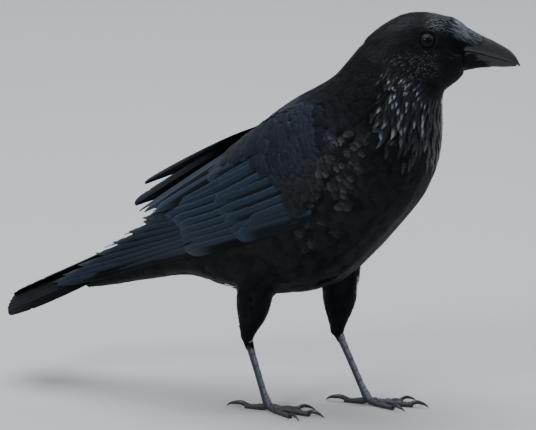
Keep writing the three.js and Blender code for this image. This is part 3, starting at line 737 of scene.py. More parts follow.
def lay(name, roots, length, half, keep=None, way_at=lie, surface=BODY_SURFACE, glints=True):
    """A coat's feathers on roots over the form, as pieces below the triangle limit. length and half, their
    width, are in mm, and keep says from the feathers' middle lines which are wanted."""
    shapes, material, lift, depth, press, yaw, ruffle, tips = COATS[name]
    count = len(roots)
    length, half = (np.broadcast_to(np.asarray(a, float), count) for a in (length, half))
    turn = rng.normal(0, 1, count) * yaw
    kind = rng.integers(0, PATTERN_COUNT, count)
    tone = rng.random(count)
    places, normals, sideways = spines(roots, length, turn, way_at, surface.nearest)
    falls = side_falls(places, normals, sideways, half, surface.nearest)
    falls = np.clip(falls, -half[:, None] * 0.6, half[:, None] * 0.15)
    s, theta = chart(roots)
    zone, worn = violet_zone(s, theta), worn_zone(s, theta)
    glint = glint_zone(s, theta, rng.random(count)) * glints
    bake = bake_root(roots)
    per_piece = TRIANGLE_LIMIT // (2 * len(shapes[0][1]))
    chosen = np.arange(count) if keep is None else np.flatnonzero(keep(places))
    for part, begin in enumerate(range(0, len(chosen), per_piece)):
        block = chosen[begin:begin + per_piece]
        pieces, base = [], 0
        for variant, (points, faces) in enumerate(shapes):
            ids = block[kind[block] == variant]
            n = len(ids)
            if not n:
                continue
            u, v, rise = points.T
            step = np.clip(v * SPINE_STEPS, 0, SPINE_STEPS - 1e-6)
            i, f = step.astype(int), (step % 1)[None, :, None]
            mix = lambda a: a[ids][:, i] * (1 - f) + a[ids][:, i + 1] * f
            spread = lambda a: np.repeat(a[ids], len(points))
            w = half[ids, None] * u
            height = lift * ramp(v, 0.05, 0.7) - depth * (1 - ramp(v, 0.0, 0.55)) - press * ramp(v, 0.72, 1.0)
            fall = np.where(u < 0, falls[ids, :1], falls[ids, 1:])
            height = height + (fall - 0.05 * half[ids, None]) * u**2 + 0.3 * ruffle * rise * half[ids, None]
            at = mix(places) + mix(sideways) * w[..., None] + unit(mix(normals)) * height[..., None]
            # where the painted sheen of the edge colour lies: towards the tip and the sides
            edge = np.clip(ramp(v, 0.55, 0.98) + 0.6 * ramp(np.abs(u), 0.6, 1.0), 0, 1)
            patch = np.stack([u * 0.5, v - 0.5], 1) * BAKE_PATCH
            quads = faces + base + (np.arange(n) * len(points))[:, None, None]
            vane = np.stack([w, v * length[ids, None]], -1)
            # tipward carries the painted sheen, and glint the painted highlight, stronger towards the tip
            values = [spread(tone), spread(zone), spread(worn), np.tile(edge * tips, n),
                      spread(glint) * np.tile(ramp(v, 0.35, 0.95), n)]
            pieces.append((at.reshape(-1, 3), quads.reshape(-1, 4), vane.reshape(-1, 2),
                           (bake[ids][:, None] + patch).reshape(-1, 2), values))
            base += n * len(points)
        build_feathers(f"{name}_{part + 1}", *zip(*pieces), material, "plumage")


def worn_zone(s, theta):
    """Softer, browner feathers: the flanks and breast beside the wing, and the cheek."""
    flank = band(s, 120, 150, 230, 300) * band(theta, 62, 84, 130, 165)
    cheek = band(s, 45, 60, 85, 105) * band(theta, 70, 90, 130, 150)
    return np.clip(0.8 * flank + 0.7 * cheek, 0, 1)


def glint_zone(s, theta, chance):
    """How strongly single feathers get a painted highlight: forecrown, throat hackles, cheek, and the ruffled
    breast side.
    """
    forecrown = 0.95 * band(s, 28, 34, 49, 56) * (1 - ramp(theta, 34, 52)) * (0.55 + 0.45 * chance)
    throat = band(s, 80, 88, 122, 132) * band(theta, 96, 106, 150, 172) * ramp(chance, 0.52, 0.93)
    cheek = 0.64 * band(s, 38, 48, 74, 86) * band(theta, 78, 92, 128, 150) * ramp(chance, 0.30, 0.90)
    middle = 78 + 0.45 * (s - 132)
    breast = band(s, 116, 132, 160, 206) * band(theta - middle, -26, -8, 14, 30)
    flank = 0.12 * band(s, 170, 185, 222, 240) * band(theta, 92, 100, 122, 134) * ramp(chance, 0.6, 0.9)
    return np.clip(forecrown + throat + cheek + 0.27 * breast * ramp(chance, 0.0, 0.95) + flank, 0, 1)


# ---------------------------------------------------------------- where feathers grow

EYE_X, EYE_Z, EYE_RADIUS = 94.7, 311, 6.0  # in the head's straight layout
EYE_OPENING = 3.35  # from the eye's axis to the nearest feather
ROOT_TRIES = 5  # drawn for each feather that there is room for
ROOT_JITTER = 0.4


def scatter(spacing_at, mask_at, seed):
    """Roots over the form, no two closer than spacing_at(s, theta, points)."""
    draw = np.random.default_rng(seed)
    s, theta = chart(FACE_CENTRE)
    spacing = spacing_at(s, theta, FACE_CENTRE)
    wanted = mask_at(s, theta, FACE_CENTRE)
    odds = np.where(wanted, FACE_AREA / MM**2 / spacing**2, 0)
    count = int(odds.sum() * ROOT_TRIES)
    chosen = draw.choice(len(odds), count, p=odds / odds.sum())
    jitter = (draw.random((count, 3)) - 0.5) * VOXEL / MM
    normal = FACE_NORMAL[chosen]
    jitter -= normal * (jitter * normal).sum(1, keepdims=True)
    points = FACE_CENTRE[chosen] + jitter
    gap = spacing[chosen]
    cell = float(gap.max())
    grid, kept = {}, []
    reach = [(i, j, k) for i in (-1, 0, 1) for j in (-1, 0, 1) for k in (-1, 0, 1)]
    cells = np.floor(points / cell).astype(int)
    for index, ((x, y, z), (i, j, k), room) in enumerate(zip(points.tolist(), cells.tolist(), gap.tolist())):
        if not any((x - qx) ** 2 + (y - qy) ** 2 + (z - qz) ** 2 < room * room for di, dj, dk in reach
                   for qx, qy, qz in grid.get((i + di, j + dj, k + dk), ())):
            grid.setdefault((i, j, k), []).append((x, y, z))
            kept.append(index)
    return points[kept], gap[kept]


def loose_roots(odds, count):
    """Roots drawn over the form by the odds of its faces."""
    chosen = rng.choice(len(odds), count, p=odds / odds.sum())
    return FACE_CENTRE[chosen] + rng.normal(0, ROOT_JITTER, (count, 3))


def clear_of_eyes(places):
    """Feathers that don't cross an eye's opening."""
    x, y = straightened(places)
    off = np.hypot(x - EYE_X, places[..., 2] - EYE_Z)
    return ~((off < EYE_OPENING) & (np.abs(y) > 8)).any(1)


def on_leg(points):
    x, y, z = points.T
    return (z < 99) & (np.abs(y) < 50) & (x > -75) & (x < 40)


def lay_face():
    mask = lambda s, theta, p: (s < 92) & (straightened(p)[0] < 121)
    roots, gap = scatter(lambda s, theta, p: 1.0 + 1.0 * ramp(s, 48, 95), mask, 11)
    behind = straightened(roots)[0] < 119
    roots, gap = roots[behind], gap[behind]
    lay("feathers_face", roots, gap * 4.3, gap * 0.46, keep=clear_of_eyes)


def lay_neck():
    mask = lambda s, theta, p: (s >= 84) & (s < 148) & ~on_leg(p)
    roots, gap = scatter(lambda s, theta, p: 2.1 + 1.9 * ramp(s, 88, 140), mask, 12)
    s, theta = chart(roots)
    throat = band(theta, 84, 118, 181, 182) * (1 - ramp(s, 116, 146))
    hackle = rng.random(len(roots)) < throat
    lay("feathers_throat", roots[hackle], gap[hackle] * 4.6, gap[hackle] * 0.66)
    lay("feathers_neck", roots[~hackle], gap[~hackle] * 3.6, gap[~hackle] * 0.95)


COVERTS_FROM = 0.05  # the share of a wing's length at which small coverts begin
SCAPULARS = (158, 262, 47, 0.12)  # from and to along the body, degrees from the back, and less for each mm


def coverts_end(angle):
    """The share of a wing's length at which small coverts end: sooner towards its lower edge."""
    return 0.27 - 0.10 * ramp(angle, 45, 85)


def wing_field(s, theta, points):
    """True where the long wing feathers cover the form."""
    share, angle, inside = wing_place(points)
    alula = (share > 0.205) & (angle > 76)
    return inside & ((share > coverts_end(angle)) | alula) & ~scapulars(s, theta)


def scapulars(s, theta):
    first, last, reach, narrowing = SCAPULARS
    return (s > first) & (s < last) & (theta < reach - narrowing * (s - first))


def shoulder(s, theta, points):
    """True over the scapulars and the wing's small coverts."""
    share, angle, inside = wing_place(points)
    return scapulars(s, theta) | (inside & (share > COVERTS_FROM) & (share <= coverts_end(angle)))


def clear_of_wings(places):
    """Feathers that don't run out over a wing's long feathers."""
    free = np.ones(len(places), bool)
    for step in (2, 4, SPINE_STEPS):
        share, angle, inside = wing_place(places[:, step])
        end = np.interp(share, np.linspace(0, 1, WING_STEPS), WING_ROWS[:, 6])
        free &= ~(inside & (share > 0.30) & (angle < end - 2.0 + 3.5 * ramp(share, 0.45, 0.52)))
    return free


def lay_body():
    mask = lambda s, theta, p: ((s >= 144) & (s < 425) & ~wing_field(s, theta, p) & ~shoulder(s, theta, p)
                                & ~on_leg(p))
    spacing = lambda s, theta, p: (4.0 + 1.6 * ramp(s, 135, 200) + 0.6 * ramp(s, 330, 400)
                                   - 1.5 * band(s, 110, 130, 170, 215) * band(theta, 50, 70, 110, 130))
    roots, gap = scatter(spacing, mask, 13)
    s, theta = chart(roots)
    fluff = ramp(theta, 120, 160) * ramp(s, 180, 230)
    soft = rng.random(len(roots)) < fluff * 0.8
    lay("feathers_belly", roots[soft], gap[soft] * 4.0, gap[soft] * 0.95, keep=clear_of_wings)
    lay("feathers_body", roots[~soft], gap[~soft] * 4.0, gap[~soft] * 1.05, keep=clear_of_wings)


def lay_shoulder():
    mask = lambda s, theta, p: shoulder(s, theta, p) & ~wing_field(s, theta, p)
    spacing = lambda s, theta, p: 3.6 + 2.6 * band(s, 160, 215, 400, 401) * (1 - ramp(theta, 40, 60))
    roots, gap = scatter(spacing, mask, 14)
    lay("feathers_shoulder", roots, gap * 3.0, gap * 1.02)


HEM_COUNT, HEM_TOP, HEM_END = 760, 66, 47  # the ragged hem's feathers, and the heights they start and end at


def lay_thighs():
    mask = lambda s, theta, p: on_leg(p) & (p[:, 2] > 56)
    roots, gap = scatter(lambda s, theta, p: 2.2 + 1.8 * ramp(p[:, 2], 60, 105), mask, 15)
    surface = Surface(FORM, *solids("tarsus_right", "tarsus_left"))
    lay("feathers_thigh", roots, gap * 3.6, gap * 0.85, surface=surface)
    # the hem hangs over the top of the tarsus
    odds = np.where(on_leg(FACE_CENTRE) & (FACE_CENTRE[:, 2] < HEM_TOP), FACE_AREA, 0)
    roots = loose_roots(odds, HEM_COUNT)
    reach = (roots[:, 2] - HEM_END) * rng.uniform(0.55, 1.0, HEM_COUNT)
    lay("feathers_hem", roots, np.maximum(5, reach), 1.1, surface=surface)


def lay_tail_coverts():
    """Long soft feathers that run from the rump and the vent onto the tail."""
    mask = lambda s, theta, p: ((s > 352) & (s < 452) & ~on_leg(p) & ((theta > 112) | (theta < 60))
                                & ~wing_place(p)[2])
    roots, _ = scatter(lambda s, theta, p: 4.2 + 0 * s, mask, 16)
    s, _ = chart(roots)
    length = (15 + 18 * ramp(s, 360, 425)) * rng.uniform(0.75, 1.1, len(s))
    lay("feathers_tail_coverts", roots, length, 3.6, surface=Surface(FORM, *solids("tail")))


lay_face()
lay_neck()
lay_body()
lay_shoulder()
lay_thighs()
lay_tail_coverts()

# ---------------------------------------------------------------- long feathers


def on_wing(side, xz, inset):
    """Side-view points [x, z] put onto a wing's form, inset mm under it, with the normals there."""
    row, high = wing_row(np.asarray(xz, float))
    depth, half = WING_DEPTH[row] - inset, WING_ROWS[row, 4] - inset
    cosine = np.clip(high / depth, -0.985, 0.985)
    sine = np.sqrt(1 - cosine**2)
    middle, up = WING_MIDDLE[row], WING_UP[row]
    flat = middle + up * (depth * cosine)[:, None]
    at = np.stack([flat[:, 0], side * half * sine, flat[:, 1]], 1)
    normal = unit(np.stack([up[:, 0] * cosine / depth, side * sine / half, up[:, 1] * cosine / depth], 1))
    return at, normal, half


def long_outline(v, blunt):
    """Half width of a long feather along it: a narrow root, an even vane and a rounded tip."""
    rise = 0.45 + 0.55 * ramp(v, 0.0, 0.22)
    tip = np.sqrt(np.clip(1 - (np.maximum(0, v - (1 - blunt)) / blunt) ** 2.2, 0.0, 1))
    return rise * tip


LONG_COLUMNS = np.array([-1, -0.82, -0.56, -0.30, -0.075, 0, 0.075, 0.30, 0.56, 0.82, 1])
FEATHER_THICK = 0.22  # mm, of a vane
LINE_STEPS = 25  # in the lines that wing feathers follow
ROW_LENGTH, ROWS_LEAST, ROWS_MOST = 2.2, 14, 64
FORWARD_SWEEP = 0.32  # of the barbs: the vane's edges run past the shaft's own place


def long_feather(line, normals, half, blunt, narrow, outer, curve, tilt, seed, rows=None, shaft=0.32,
                 taper=0.0):
    """One long feather as a thin closed blade: vertices, quads, Vane places, its tipward values (a painted
    sheen on the edge and tip) and its inner-vane values (painted shade under its neighbour, partly the vane's
    own duller black), and how many vertices its upper face has. line and normals run from root to tip. blunt
    is the rounded share of its length, narrow the outer vane's share of the inner one's width, and outer the
    outer vane's
    side: 1 for the left of the line, seen from outside with the root behind. curve is the radius of the form
    under it, tilt how far its outer edge stands up, and taper the share of its length over which its inner
    vane runs out."""
    draw = np.random.default_rng(seed)
    length = np.linalg.norm(np.diff(line, axis=0), axis=1).sum()
    rows = rows or int(np.clip(length / ROW_LENGTH, ROWS_LEAST, ROWS_MOST))
    v = np.linspace(0, 1, rows) ** 0.93
    v[-1] = 0.999
    t = v * (len(line) - 1)
    i = np.minimum(t.astype(int), len(line) - 2)
    f = (t - i)[:, None]
    centre = line[i] * (1 - f) + line[i + 1] * f
    normal = unit(normals[i] * (1 - f) + normals[i + 1] * f)
    along = unit(np.gradient(centre, axis=0))
    across = unit(np.cross(normal, along))
    share = np.where(LONG_COLUMNS * outer > 0, narrow, 1.0)
    runout = np.where(LONG_COLUMNS * outer < 0, 1 - 0.85 * ramp_line(v, 1 - taper, 1)[:, None], 1.0)
    width = long_outline(v, blunt)[:, None] * share * runout * half
    wave = np.cumsum(draw.normal(0, 1, (rows, 2)), 0)
    wave = (wave - wave.mean(0)) / (np.abs(wave).max() + 1e-6) * 0.035
    splits = draw.choice(rows - 4, max(1, rows // 16), replace=False) + 2
    notch = np.zeros((rows, 2))
    notch[splits, draw.integers(0, 2, len(splits))] = draw.uniform(0.06, 0.16, len(splits))
    edge = np.abs(LONG_COLUMNS) ** 3
    trim = 1 + edge * np.where(LONG_COLUMNS < 0, (wave - notch)[:, :1], (wave - notch)[:, 1:])
    w = LONG_COLUMNS * width * trim
    forward = np.abs(w) * FORWARD_SWEEP * (1 - ramp(v, 0.90, 1.0))[:, None]
    ridge = shaft * (1 - 0.7 * v)[:, None] * (LONG_COLUMNS == 0)
    arch = 0.07 * half * (np.cos(np.abs(LONG_COLUMNS) * math.pi * 0.5) - 0.5)
    # each edge tips: the outer one stands over its neighbour, the inner one tucks under the next
    height = -(w**2) / (2 * curve) + ridge + arch + tilt * LONG_COLUMNS * outer
    top = (centre[:, None] + across[:, None] * w[..., None] + normal[:, None] * height[..., None]
           + along[:, None] * forward[..., None])
    thick = FEATHER_THICK * (1 - 0.75 * edge) * (1 - 0.6 * ramp(v, 0.82, 1.0))[:, None]
    low = top - normal[:, None] * thick[..., None]
    columns = len(LONG_COLUMNS)
    index = np.arange(rows * columns).reshape(rows, columns)
    quads = grid_quads(rows, columns)
    under = quads[:, ::-1] + rows * columns
    rim = np.concatenate([index[0, :0:-1], index[:-1, 0], index[-1, :-1], index[:0:-1, -1]])
    # the rim has vertices of its own, so that the faces either side of an edge shade apart
    first, turn = 2 * rows * columns, np.arange(len(rim))
    ahead = np.roll(turn, -1)
    sides = np.stack([turn, ahead, ahead + len(rim), turn + len(rim)], 1) + first
    vane = np.stack([w, np.repeat(v[:, None] * length, columns, 1) + forward], -1).reshape(-1, 2)
    # painted sheen along the exposed outer edge and the tip; painted shade on the inner vane under its
    # neighbour, partly its own duller black
    tipward = ramp(LONG_COLUMNS * outer, 0.55, 1.0) + 0.4 * ramp(v, 0.90, 1.0)[:, None]
    dull_and_shaded = ramp(-w * outer, -0.7, 1.3) * (1 - ramp(v, 0.72, 0.95))[:, None]
    values = np.stack([np.clip(tipward, 0, 1).ravel(), dull_and_shaded.ravel()])
    top, low = top.reshape(-1, 3), low.reshape(-1, 3)
    return (np.concatenate([top, low, top[rim], low[rim]]), np.concatenate([quads, under, sides]),
            np.concatenate([vane, vane, vane[rim], vane[rim]]),
            np.concatenate([values, values, values[:, rim], values[:, rim]], 1), rows * columns)


def strip_uv(vane, face_count, index, total):
    """A long feather's strip of the OFBake map: its upper face beside its lower one, its rim with each."""
    low, high = vane.min(0), vane.max(0)
    share = (vane - low) / (high - low)
    rim = (len(vane) - 2 * face_count) // 2
    face = np.repeat((0, 1, 0, 1), (face_count, face_count, rim, rim))
    u = (index + 0.04 + 0.44 * share[:, 0] + 0.48 * face) / total
    return np.stack([u, 0.01 + 0.98 * share[:, 1]], 1)


def build_long(name, feathers, tips=1.0, inner=1.0, tone=(0.25, 0.8), material=GLOSS, replaces=()):
    """One piece from several long feathers. tips and inner scale their tipward values (painted sheen) and
    their inner vanes' painted shade.
    """
    pieces, base = [], 0
    inner = np.broadcast_to(inner, len(feathers))
    for index, (points, faces, vane, (tipward, dull_and_shaded), face_count) in enumerate(feathers):
        none = np.zeros(len(points))
        values = [none + rng.uniform(*tone), none, none, tips * tipward, none, inner[index] * dull_and_shaded]
        pieces.append((points, faces + base, vane, strip_uv(vane, face_count, index, len(feathers)), values))
        base += len(points)
    made = build_feathers(name, *zip(*pieces), material, "flight_feathers")
    if replaces:
        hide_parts(*replaces)


def wing_feather(side, root, tip, inset_root, inset_tip, half, sag, **shape):
    """A long feather on the wing's form between two side-view points; sag bows it downwards."""
    t = np.linspace(0, 1, LINE_STEPS)[:, None]
    bow = np.concatenate([0 * t, -4 * t * (1 - t) * sag], 1)
    at, normal, radius = on_wing(side, np.asarray(root) * (1 - t) + np.asarray(tip) * t + bow,
                                 inset_root + (inset_tip - inset_root) * t[:, 0])
    return long_feather(at, normal, half, outer=side, curve=float(np.median(radius)), **shape)


def between(a, b, share):
    """The point at a share of the way from a to b."""
    return tuple(np.asarray(a, float) * (1 - share) + np.asarray(b, float) * share)


# Primaries from the innermost, whose tip is highest, to the outermost: tip points, longest near the end.
PRIMARY_TIPS = [(-127, 153), (-139, 144), (-152, 134), (-167, 123), (-183, 111.5), (-199, 100), (-213, 90),
                (-222, 83), (-216, 82), (-196, 92)]
PRIMARY_ROOTS = ((-52, 178), (-44, 148))
# Secondaries from the outermost, lowest one inwards: their tips make the stepped end of the wing's panel.
SECONDARY_TIPS = [(-94, 129.5), (-95.5, 133.5), (-96.5, 138.5), (-97.5, 144), (-99.5, 149.5), (-106, 153),
                  (-116, 154.5), (-129, 152), (-142, 145)]
SECONDARY_ROOTS = ((6, 171), (-30, 214))


GREATER_COVERTS = ((20, 178), (-22, 232)), ((-46, 152), (-84, 193))  # roots, tips: the lowest and the highest
PRIMARY_COVERTS = ((26, 189), (20, 176)), ((-33, 163), (-43, 151.5))
COVERT_COUNT, COVERT_SCATTER, PRIMARY_COVERT_COUNT = 9, 2.2, 3


def make_wing(side, name):
    last = len(PRIMARY_TIPS) - 1
    primaries = [
        wing_feather(side, between(*PRIMARY_ROOTS, k / last), tip, 2.05 + 0.10 * k, 1.55 + 0.10 * k,
                     7.0 - 0.16 * k, sag=1.5, blunt=0.14 - 0.003 * k, narrow=0.5, seed=100 + k, tilt=0.30,
                     taper=0.24)
        for k, tip in enumerate(PRIMARY_TIPS)]
    build_long(f"wing_{name}_primary_feathers", primaries, inner=[0.1, 0.3, 0.6] + [1] * 7, tone=(0.0, 0.4),
               replaces=[f"wing_{name}_primaries"])
    last = len(SECONDARY_TIPS) - 1
    secondaries = [
        wing_feather(side, between(*SECONDARY_ROOTS, k / last), tip, 1.85 - 0.10 * k, 1.45 - 0.10 * k, 8.2,
                     sag=1.0 + 0.5 * k, blunt=0.15 + 0.01 * k, narrow=0.55, seed=120 + k, tilt=0.36,
                     taper=0.05 * max(0, k - 4))
        for k, tip in enumerate(SECONDARY_TIPS)]
    build_long(f"wing_{name}_secondary_feathers", secondaries, inner=[1] * 6 + [0.9, 0.6, 0.15],
               replaces=[f"wing_{name}_secondaries"])
    coverts = []
    for k in range(COVERT_COUNT):
        share = k / (COVERT_COUNT - 1)
        root, tip = (between(*ends, share) for ends in GREATER_COVERTS)
        tip = tip + np.random.default_rng(300 + k).normal(0, COVERT_SCATTER, 2)
        coverts.append(wing_feather(side, root, tip, 0.9, 0.95 - 0.12 * share, 8.5, sag=1.0, blunt=0.26,
                                    narrow=0.6, seed=140 + k, tilt=0.30))
    for k in range(PRIMARY_COVERT_COUNT):
        root, tip = (between(*ends, k / (PRIMARY_COVERT_COUNT - 1)) for ends in PRIMARY_COVERTS)
        coverts.append(wing_feather(side, root, tip, 0.9, 0.02 - 0.05 * k, 8.0, sag=-1.0, blunt=0.20,
                                    narrow=0.7, seed=160 + k, tilt=0.35))
    build_long(f"wing_{name}_greater_coverts", coverts, tips=0.7, inner=0.8, tone=(0.4, 1.0))


# Tertials: root and tip [x, |y|, z], half width and roll in degrees; the left ones are raised.
TERTIALS = {
    "right": [((-38, 12, 226), (-143, 13, 150), 8.0, 16), ((-44, 20, 218), (-136, 20, 152), 8.5, 32),
              ((-46, 28, 209), (-124, 28, 155), 9, 48)],
    "left": [((-46, 12, 224), (-152, 21, 163), 9.5, 32), ((-54, 20, 215), (-163, 27, 143), 11, 46),
             ((-58, 30, 204), (-150, 36, 140), 11, 58)],
}


TERTIAL_BOW = {RIGHT: 5, LEFT: 10}


def make_tertials(side, name):
    feathers = []
    t = np.linspace(0, 1, LINE_STEPS)[:, None]
    for k, (root, tip, half, roll) in enumerate(TERTIALS[name]):
        root, tip = (np.array(p) * (1, side, 1) for p in (root, tip))
        line = root * (1 - t) + tip * t + np.concatenate([0 * t, 0 * t, TERTIAL_BOW[side] * t * (1 - t)], 1)
        angle = math.radians(roll)
        across = np.array((0, side * math.cos(angle), -math.sin(angle)))
        normal = unit(np.cross(unit(tip - root), across)) * -side
        normal = normal if normal[2] > 0 else -normal
        line = line + normal * (1.4 - 0.35 * k)
        feathers.append(long_feather(line, np.tile(normal, (LINE_STEPS, 1)), half, blunt=0.17, narrow=0.75,
                                     outer=side, taper=0.3, curve=30, tilt=0.2, seed=180 + k))
    build_long(f"wing_{name}_tertial_feathers", feathers, inner=[0, 0.9, 0.9], tone=(0.7, 1.2),
               replaces=[f"wing_{name}_tertials"])


# The tail's upper line [x, z], its half width and the slope of its roof, each at its root and its tip.
TAIL_LINE = [(-100, 143), (-150, 120.5), (-200, 95), (-234, 78), (-258, 66)]
TAIL_STEPS = 200
TAIL_ROWS = smooth_curve(TAIL_LINE, TAIL_STEPS + 1)
TAIL_HALF, TAIL_ROOF = (15, 31), (0.56, 0.24)
TAIL_PAIRS, RECTRIX_STEPS = 6, 41


def tail_place(share, across, sink):
    """Places on the tail's roof, and its slope there: share runs from its root to its tip, across from side
    to side."""
    x, z = TAIL_ROWS[np.clip(share * TAIL_STEPS, 0, TAIL_STEPS).astype(int)].T
    y = across * (TAIL_HALF[0] + (TAIL_HALF[1] - TAIL_HALF[0]) * np.sqrt(share))
    roof = TAIL_ROOF[0] + (TAIL_ROOF[1] - TAIL_ROOF[0]) * share**2
    return np.stack([x, y, z - roof * np.abs(y) + 1.6 - sink], 1), roof


def make_tail():
    feathers = []
    for pair in reversed(range(TAIL_PAIRS)):
        for side in (RIGHT, LEFT):
            across = side * (0.05 + 0.145 * pair)
            end = 0.87 + 0.125 * math.sqrt(1 - (0.05 + 0.158 * pair) ** 2)
            share = np.linspace(0.12, end, RECTRIX_STEPS)
            fan = across * (0.55 + 0.45 * ramp(share, 0.1, 0.9))
            line, roof = tail_place(share, fan, 0.42 * pair + (0.12 if side == LEFT else 0))
            normal = unit(np.stack([0.42 + 0 * roof, roof * side, np.ones(RECTRIX_STEPS)], 1))
            normal = square_to(normal, unit(np.gradient(line, axis=0)))
            feathers.append(long_feather(
                line, normal, 9.2 - 0.25 * pair, blunt=0.085, narrow=0.75 - 0.07 * pair, outer=side, curve=60,
                tilt=0.1, seed=200 + pair * 2 + (side > 0), rows=70, shaft=0.45))
    build_long("tail_feathers", feathers, tips=0.7, inner=0.6, material=TAIL, replaces=["tail"])


for side_, name_ in ((RIGHT, "right"), (LEFT, "left")):
    make_wing(side_, name_)
    make_tertials(side_, name_)
make_tail()

# ---------------------------------------------------------------- bill


# Stations along each half of the bill: x, ridge height, edge height and half width, straight ahead.
UPPER_BILL = [(104, 321, 301, 11.5), (116, 319.5, 302.5, 10.2), (124.6, 316.8, 302, 9),
              (133, 313.2, 300.6, 7.7), (143, 309.4, 297.8, 6.2), (152.5, 304.6, 295, 4.6),
              (159, 300.6, 293, 3.3), (163, 296, 291, 2.1), (166, 290.2, 288.7, 0.9)]
LOWER_BILL = [(104, 283, 300.5, 9.8), (116, 282.5, 302, 9), (125, 284.8, 301.5, 7.9),
              (134, 287, 299.9, 6.6), (143, 287.6, 297.3, 5.2), (152.5, 287.7, 294.5, 3.7),
              (160, 288.2, 292.3, 2.1), (163.2, 288.7, 290.6, 1)]
BILL_ROWS, ARCH_POINTS, PALATE_POINTS = 72, 41, 7


def make_bill_half(name, stations, upper):
    """An arch over a slightly hollow palate at each station, with a lip along the cutting edges."""
    angle = np.linspace(0, math.pi, ARCH_POINTS)
    near_edge = np.exp(-(np.sin(angle) / 0.13) ** 2)
    share = np.linspace(-1, 1, PALATE_POINTS + 2)[1:-1]
    rings = []
    for x, ridge, edge, half in smooth_curve(stations, BILL_ROWS):
        lip = (0.26 if upper else 0.05) * near_edge * min(1, half / 4)
        hollow = (0.9 if upper else -0.9) * (1 - share**2) * min(1, half / 5)
        y = np.concatenate([(half + lip) * np.cos(angle), half * 0.97 * share])
        z = np.concatenate([edge + (ridge - edge) * np.sin(angle) ** 0.85, edge + hollow])
        rings.append(np.stack([np.full(len(y), x), y, z], 1))
    rings = np.array(rings)
    middle = rings[-1:].mean(1, keepdims=True)
    tip = middle + (rings[-1:] - middle) * 0.45 + (0.35, 0, -0.2 if upper else 0)
    rings = np.concatenate([rings, tip])
    # pale: where the painted highlight along the cutting edges goes
    pale = np.concatenate([0.9 * near_edge + (0.0 if upper else 0.1), np.full(PALATE_POINTS, 0.1)])
    # the lower half is darkened as painted shade
    closed_piece(f"{name}_horn", name, turned(rings), HORN, "bill", flip=not upper,
                 edge=np.concatenate([np.tile(pale, len(rings)), [0.1, 0.5]]),
                 shade=np.full(rings.size // 3 + 2, 0.0 if upper else 0.7))


make_bill_half("bill_upper", UPPER_BILL, True)
make_bill_half("bill_lower", LOWER_BILL, False)

# ---------------------------------------------------------------- nasal bristles


BRISTLE_FROM, BRISTLE_TO, BRISTLE_END = 104.5, 126, 141  # x of the roots and of the tips, straight ahead
BRISTLE_TIERS = ((420, 0.98), (520, 0.66), (460, 0.36))  # count and share of the reach
BASE_COUNT = 1800
# The lower bill's feathers: count, from and to z, and |y|, over all of which the chin's are spread.
CHIN, GAPE = (900, 280, 284, 6), (1500, 284, 301, 11)


def bill_lie(closing, rise_at):
    """A way for feathers: forwards along the bill, closing in towards its tip, rising by rise_at(z)."""
    def way_at(points, normals):
        _, aside = straightened(points)
        way = np.stack([np.ones(len(points)), -closing * aside, rise_at(points[:, 2])], 1)
        return square_to(turned(way, 0), normals)
    return way_at


BRISTLE_LIE = bill_lie(0.018, lambda z: -0.30 + 0.022 * (306 - z))
CHIN_LIE = bill_lie(0.012, lambda z: 0.04 + 0 * z)


def lay_bristles():
    x, _ = straightened(FACE_CENTRE)
    wanted = (x > BRISTLE_FROM) & (x < BRISTLE_TO) & (FACE_CENTRE[:, 2] > 301.5 + 0.02 * (x - 104))
    odds = np.where(wanted, FACE_AREA * np.where(x < 114, 2.2, 1.0), 0)
    for tier, (count, share) in enumerate(BRISTLE_TIERS):
        roots = loose_roots(odds, count)
        reach = np.maximum(4, (BRISTLE_END - straightened(roots)[0]) * share * rng.uniform(0.75, 1.05, count))
        lay(f"bristles_{tier + 1}", roots, reach, 0.26, way_at=BRISTLE_LIE)


def lay_base():
    """The face's last feathers, which lie forwards over the lower bill's base."""
    x, _ = straightened(FACE_CENTRE)
    wanted = (x > 110) & (x < 123) & (FACE_CENTRE[:, 2] < 301)
    roots = loose_roots(np.where(wanted, FACE_AREA * ramp(x, 106, 119), 0), BASE_COUNT)
    end = 121.6 + 4 * ramp(288 - roots[:, 2], 0, 4)
    reach = np.maximum(3.0, (end - straightened(roots)[0]) * rng.uniform(0.7, 1.05, BASE_COUNT))
    lay("feathers_bill_base", roots, reach, 0.5, way_at=CHIN_LIE, glints=False,
        surface=Surface(FORM, *solids("bill_lower")))


def lay_chin():
    """Feathers that come out of the face over the lower bill: short at its sides, long underneath."""
    surface = Surface(*solids("bill_lower"))
    for name, (count, low, high, wide) in (("chin", CHIN), ("gape", GAPE)):
        z = rng.uniform(low, high, count)
        y = rng.uniform(-wide, wide, count) if name == "chin" else rng.choice((-wide, wide), count)
        x = rng.uniform(106, 122, count)
        end = 121.3 + 13.0 * ramp(288.6 - z, 0, 4) - 0.6 * np.abs(y) * (name == "chin")
        reach = np.maximum(2.5, (end - x) * rng.uniform(0.8, 1.08, count))
        lay(f"feathers_{name}", turned(np.stack([x, y, z], 1)), reach, 0.5, way_at=CHIN_LIE, surface=surface,
            glints=False)


lay_bristles()
lay_base()
lay_chin()

# ---------------------------------------------------------------- eyes and lids


BALL_ROWS, BALL_SIDES, LID_SIDES = 40, 48, 96
# The lids' section: degrees outwards from the opening's edge, and mm over the eyeball.
LID_PROFILE = ((0, -0.10), (1, 0.26), (3, 0.44), (6, 0.50), (10, 0.40), (16, 0.26), (26, 0.18), (40, 0.10),
               (62, 0.08))


def round_steps(count):
    """Even angles round a ring."""
    return np.arange(count) * 2 * math.pi / count


